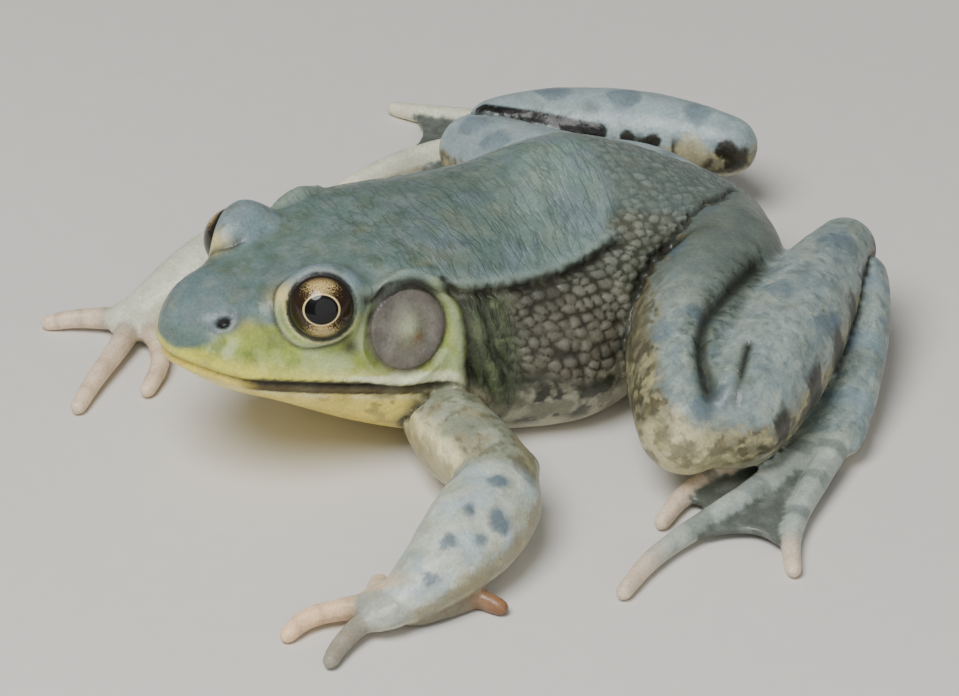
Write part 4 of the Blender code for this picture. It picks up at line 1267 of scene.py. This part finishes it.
def wet_frog_eye(settings):
    """A wet, clear-fronted eye: dark brown iris with gold flecks, a black pupil with a thin gold ring."""
    material, tree, shader = new_material("wet_cornea_over_gold_iris")
    away = add_node(tree, "Attribute", attribute_name="gaze").outputs["Vector"]
    axes = add_node(tree, "SeparateXYZ", [away])
    flat = add_node(tree, "CombineXYZ", [axes.outputs["X"], axes.outputs["Y"]])
    radius = add_node(tree, "VectorMath", [flat], operation="LENGTH").outputs["Value"]

    # the pupil is a wide oval, and this is 1 along its edge
    oval, reach = 0.0, []
    for axis, size in (("X", settings.pupil_width), ("Y", settings.pupil_height)):
        share = add_node(tree, "Math", [axes.outputs[axis], size / MM / 2], operation="DIVIDE")
        oval = add_node(tree, "Math", [share, share, oval], operation="MULTIPLY_ADD")
        reach.append(add_node(tree, "Math", [axes.outputs[axis]], operation="ABSOLUTE"))

    # flecks, 4.6 to the millimetre, and fewer at the two ends of the pupil
    flecks = add_node(tree, "TexNoise", {"Vector": flat, "Scale": 4.6, "Detail": 4, "Roughness": 0.8})
    ends = add_node(tree, "Math", [reach[1], reach[0]], operation="SUBTRACT")
    plenty = add_node(tree, "MapRange", [ends, -2.2, 2.2, -0.2, 0.12])
    flecks = add_node(tree, "Math", [flecks, plenty], operation="ADD")

    colour = (*settings.iris, 1.0)
    for value, start, end, coat in (
        (flecks, 0.49, 0.6, settings.gold),
        (radius, 3.1, 3.8, linear("#1C130A")),
        (oval, 1.25, 1.17, settings.rim),
        (oval, 1.04, 0.96, linear("#050505")),
    ):
        cover = add_node(tree, "MapRange", [value, start, end])
        mix = add_node(tree, "Mix", {0: cover, 6: colour, 7: (*coat, 1.0)}, data_type="RGBA")
        colour = mix.outputs[2]
    inputs = {
        "Base Color": colour,
        "Roughness": 0.35,
        "Specular IOR Level": 0.1,
        "Coat IOR": 1.376,
        "Coat Weight": 1,
        "Coat Roughness": 0.02,
    }
    fill(tree, shader, inputs)
    return material


def make_eye(side, material):
    """One eyeball with a slightly bulging clear front."""
    name = "eyeball_left" if side == LEFT else "eyeball_right"
    across, up, outwards = gaze_axes(side)
    low, high = EYE_BOXES[side]
    middle = (low + high) / 2
    turn = Matrix((across, up, outwards)).transposed()
    bpy.ops.object.select_all(action="DESELECT")
    bpy.ops.mesh.primitive_uv_sphere_add(
        segments=96, ring_count=64, radius=EYE_RADIUS * MM, location=middle, rotation=turn.to_euler()
    )
    eye = bpy.context.object
    eye.name = eye.data.name = name
    bpy.ops.object.transform_apply(location=True, rotation=True, scale=True)
    away = vertex_array(eye.data.vertices, "co", 3) / MM - np.array(middle) / MM
    local = away @ np.array((across, up, outwards)).T
    bulge = 1 + CORNEA[1] * step(CORNEA[0], EYE_RADIUS, local[:, 2])
    eye.data.vertices.foreach_set("co", (away * bulge[:, None] * MM + np.array(middle)).ravel())
    layer = eye.data.attributes.new("gaze", "FLOAT_VECTOR", "POINT")
    layer.data.foreach_set("vector", local.astype(np.float32).ravel())
    eye.data.materials.append(material)
    only(eye)
    bpy.ops.object.shade_smooth()
    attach(eye, "root")
    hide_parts("eye_left" if side == LEFT else "eye_right")


class FROG_OT_eyes(bpy.types.Operator):
    """Make the two eyeballs"""

    bl_idname = "frog.eyes"
    bl_label = "Make the eyes"

    def execute(self, context):
        material = wet_frog_eye(context.scene.frog_eyes)
        for side in (LEFT, RIGHT):
            make_eye(side, material)
        return {"FINISHED"}


# ---------------------------------------------------------------- the studio

CAMERA_AT = np.array((444.0, -212.5, 320.2))
CAMERA_AIM = np.array((2.28, 44.51, 5.77))
CAMERA_UP = (-0.4374, 0.2694, 0.858)
LIGHT_AIM = (0, 45, 12)
KEY_AT, KEY_SIZE = (150, -260, 620), 420
FILL_AT, FILL_SIZE = (620, -110, 190), 900
FLOOR_SIZE = 4.0  # metres
SKY_STRENGTH = 0.24


def soft_light(name, place, size, power):
    bpy.ops.object.light_add(type="AREA", location=Vector((np.array(place) + ORIGIN) * MM))
    light = bpy.context.object
    light.name = name
    light.data.shape = "DISK"
    light.data.size = size * MM
    light.data.energy = power
    toward = Vector(np.array(LIGHT_AIM) - np.array(place))
    light.rotation_euler = toward.to_track_quat("-Z", "Y").to_euler()


class FROG_OT_studio(bpy.types.Operator):
    """Make the pale floor, the soft lights and the camera"""

    bl_idname = "frog.studio"
    bl_label = "Make the studio"

    def execute(self, context):
        settings = context.scene.frog_studio
        bpy.ops.object.select_all(action="DESELECT")
        bpy.ops.mesh.primitive_plane_add(size=FLOOR_SIZE, location=(0, 0, 0))
        floor = bpy.context.object
        floor.name = "floor"
        material, tree, shader = new_material("matt_pale_board")
        place = add_node(tree, "TexCoord").outputs["Object"]
        grain = add_node(tree, "TexNoise", {"Vector": place, "Scale": 0.3 / MM, "Detail": 4})
        tone = add_node(tree, "MapRange", [grain, 0, 1, 0.97, 1.03])
        colour = add_node(tree, "VectorMath", {0: settings.floor, "Scale": tone}, operation="SCALE")
        fill(tree, shader, {"Base Color": colour, "Roughness": 0.85})
        floor.data.materials.append(material)

        world = bpy.data.worlds.new("studio")
        world.use_nodes = True
        sky = {"Color": (*linear("#E6EBEF"), 1.0), "Strength": SKY_STRENGTH}
        fill(world.node_tree, world.node_tree.nodes["Background"], sky)
        context.scene.world = world
        soft_light("key", KEY_AT, KEY_SIZE, settings.key)
        soft_light("fill", FILL_AT, FILL_SIZE, settings.fill)

        data = bpy.data.cameras.new("camera")
        camera = bpy.data.objects.new("camera", data)
        context.scene.collection.objects.link(camera)
        back = unit(CAMERA_AT - CAMERA_AIM)
        right = unit(np.cross(CAMERA_UP, back))
        up = np.cross(back, right)
        turn = Matrix((right, up, back)).transposed().to_4x4()
        camera.matrix_world = Matrix.Translation((CAMERA_AT + ORIGIN) * MM) @ turn
        data.sensor_width = 36.0
        data.lens = settings.lens
        data.clip_start = 0.01
        context.scene.camera = camera
        return {"FINISHED"}


class FROG_PT_panel(bpy.types.Panel):
    """Buttons for each piece of the frog"""

    bl_label = "Green frog"
    bl_idname = "FROG_PT_panel"
    bl_space_type = "VIEW_3D"
    bl_region_type = "UI"
    bl_category = "Green frog"

    def draw(self, context):
        for operator in (FROG_OT_skin, FROG_OT_eyes, FROG_OT_studio):
            self.layout.operator(operator.bl_idname)


SETTINGS = {"frog_skin": FROG_PG_skin, "frog_eyes": FROG_PG_eyes, "frog_studio": FROG_PG_studio}
CLASSES = (*SETTINGS.values(), FROG_OT_skin, FROG_OT_eyes, FROG_OT_studio, FROG_PT_panel)


def register():
    for cls in CLASSES:
        bpy.utils.register_class(cls)
    for name, group in SETTINGS.items():
        setattr(bpy.types.Scene, name, bpy.props.PointerProperty(type=group))


def unregister():
    for name in SETTINGS:
        delattr(bpy.types.Scene, name)
    for cls in reversed(CLASSES):
        bpy.utils.unregister_class(cls)


def main():
    register()
    bpy.ops.frog.studio()
    bpy.ops.frog.skin()
    bpy.ops.frog.eyes()


if __name__ == "__main__":
    main()
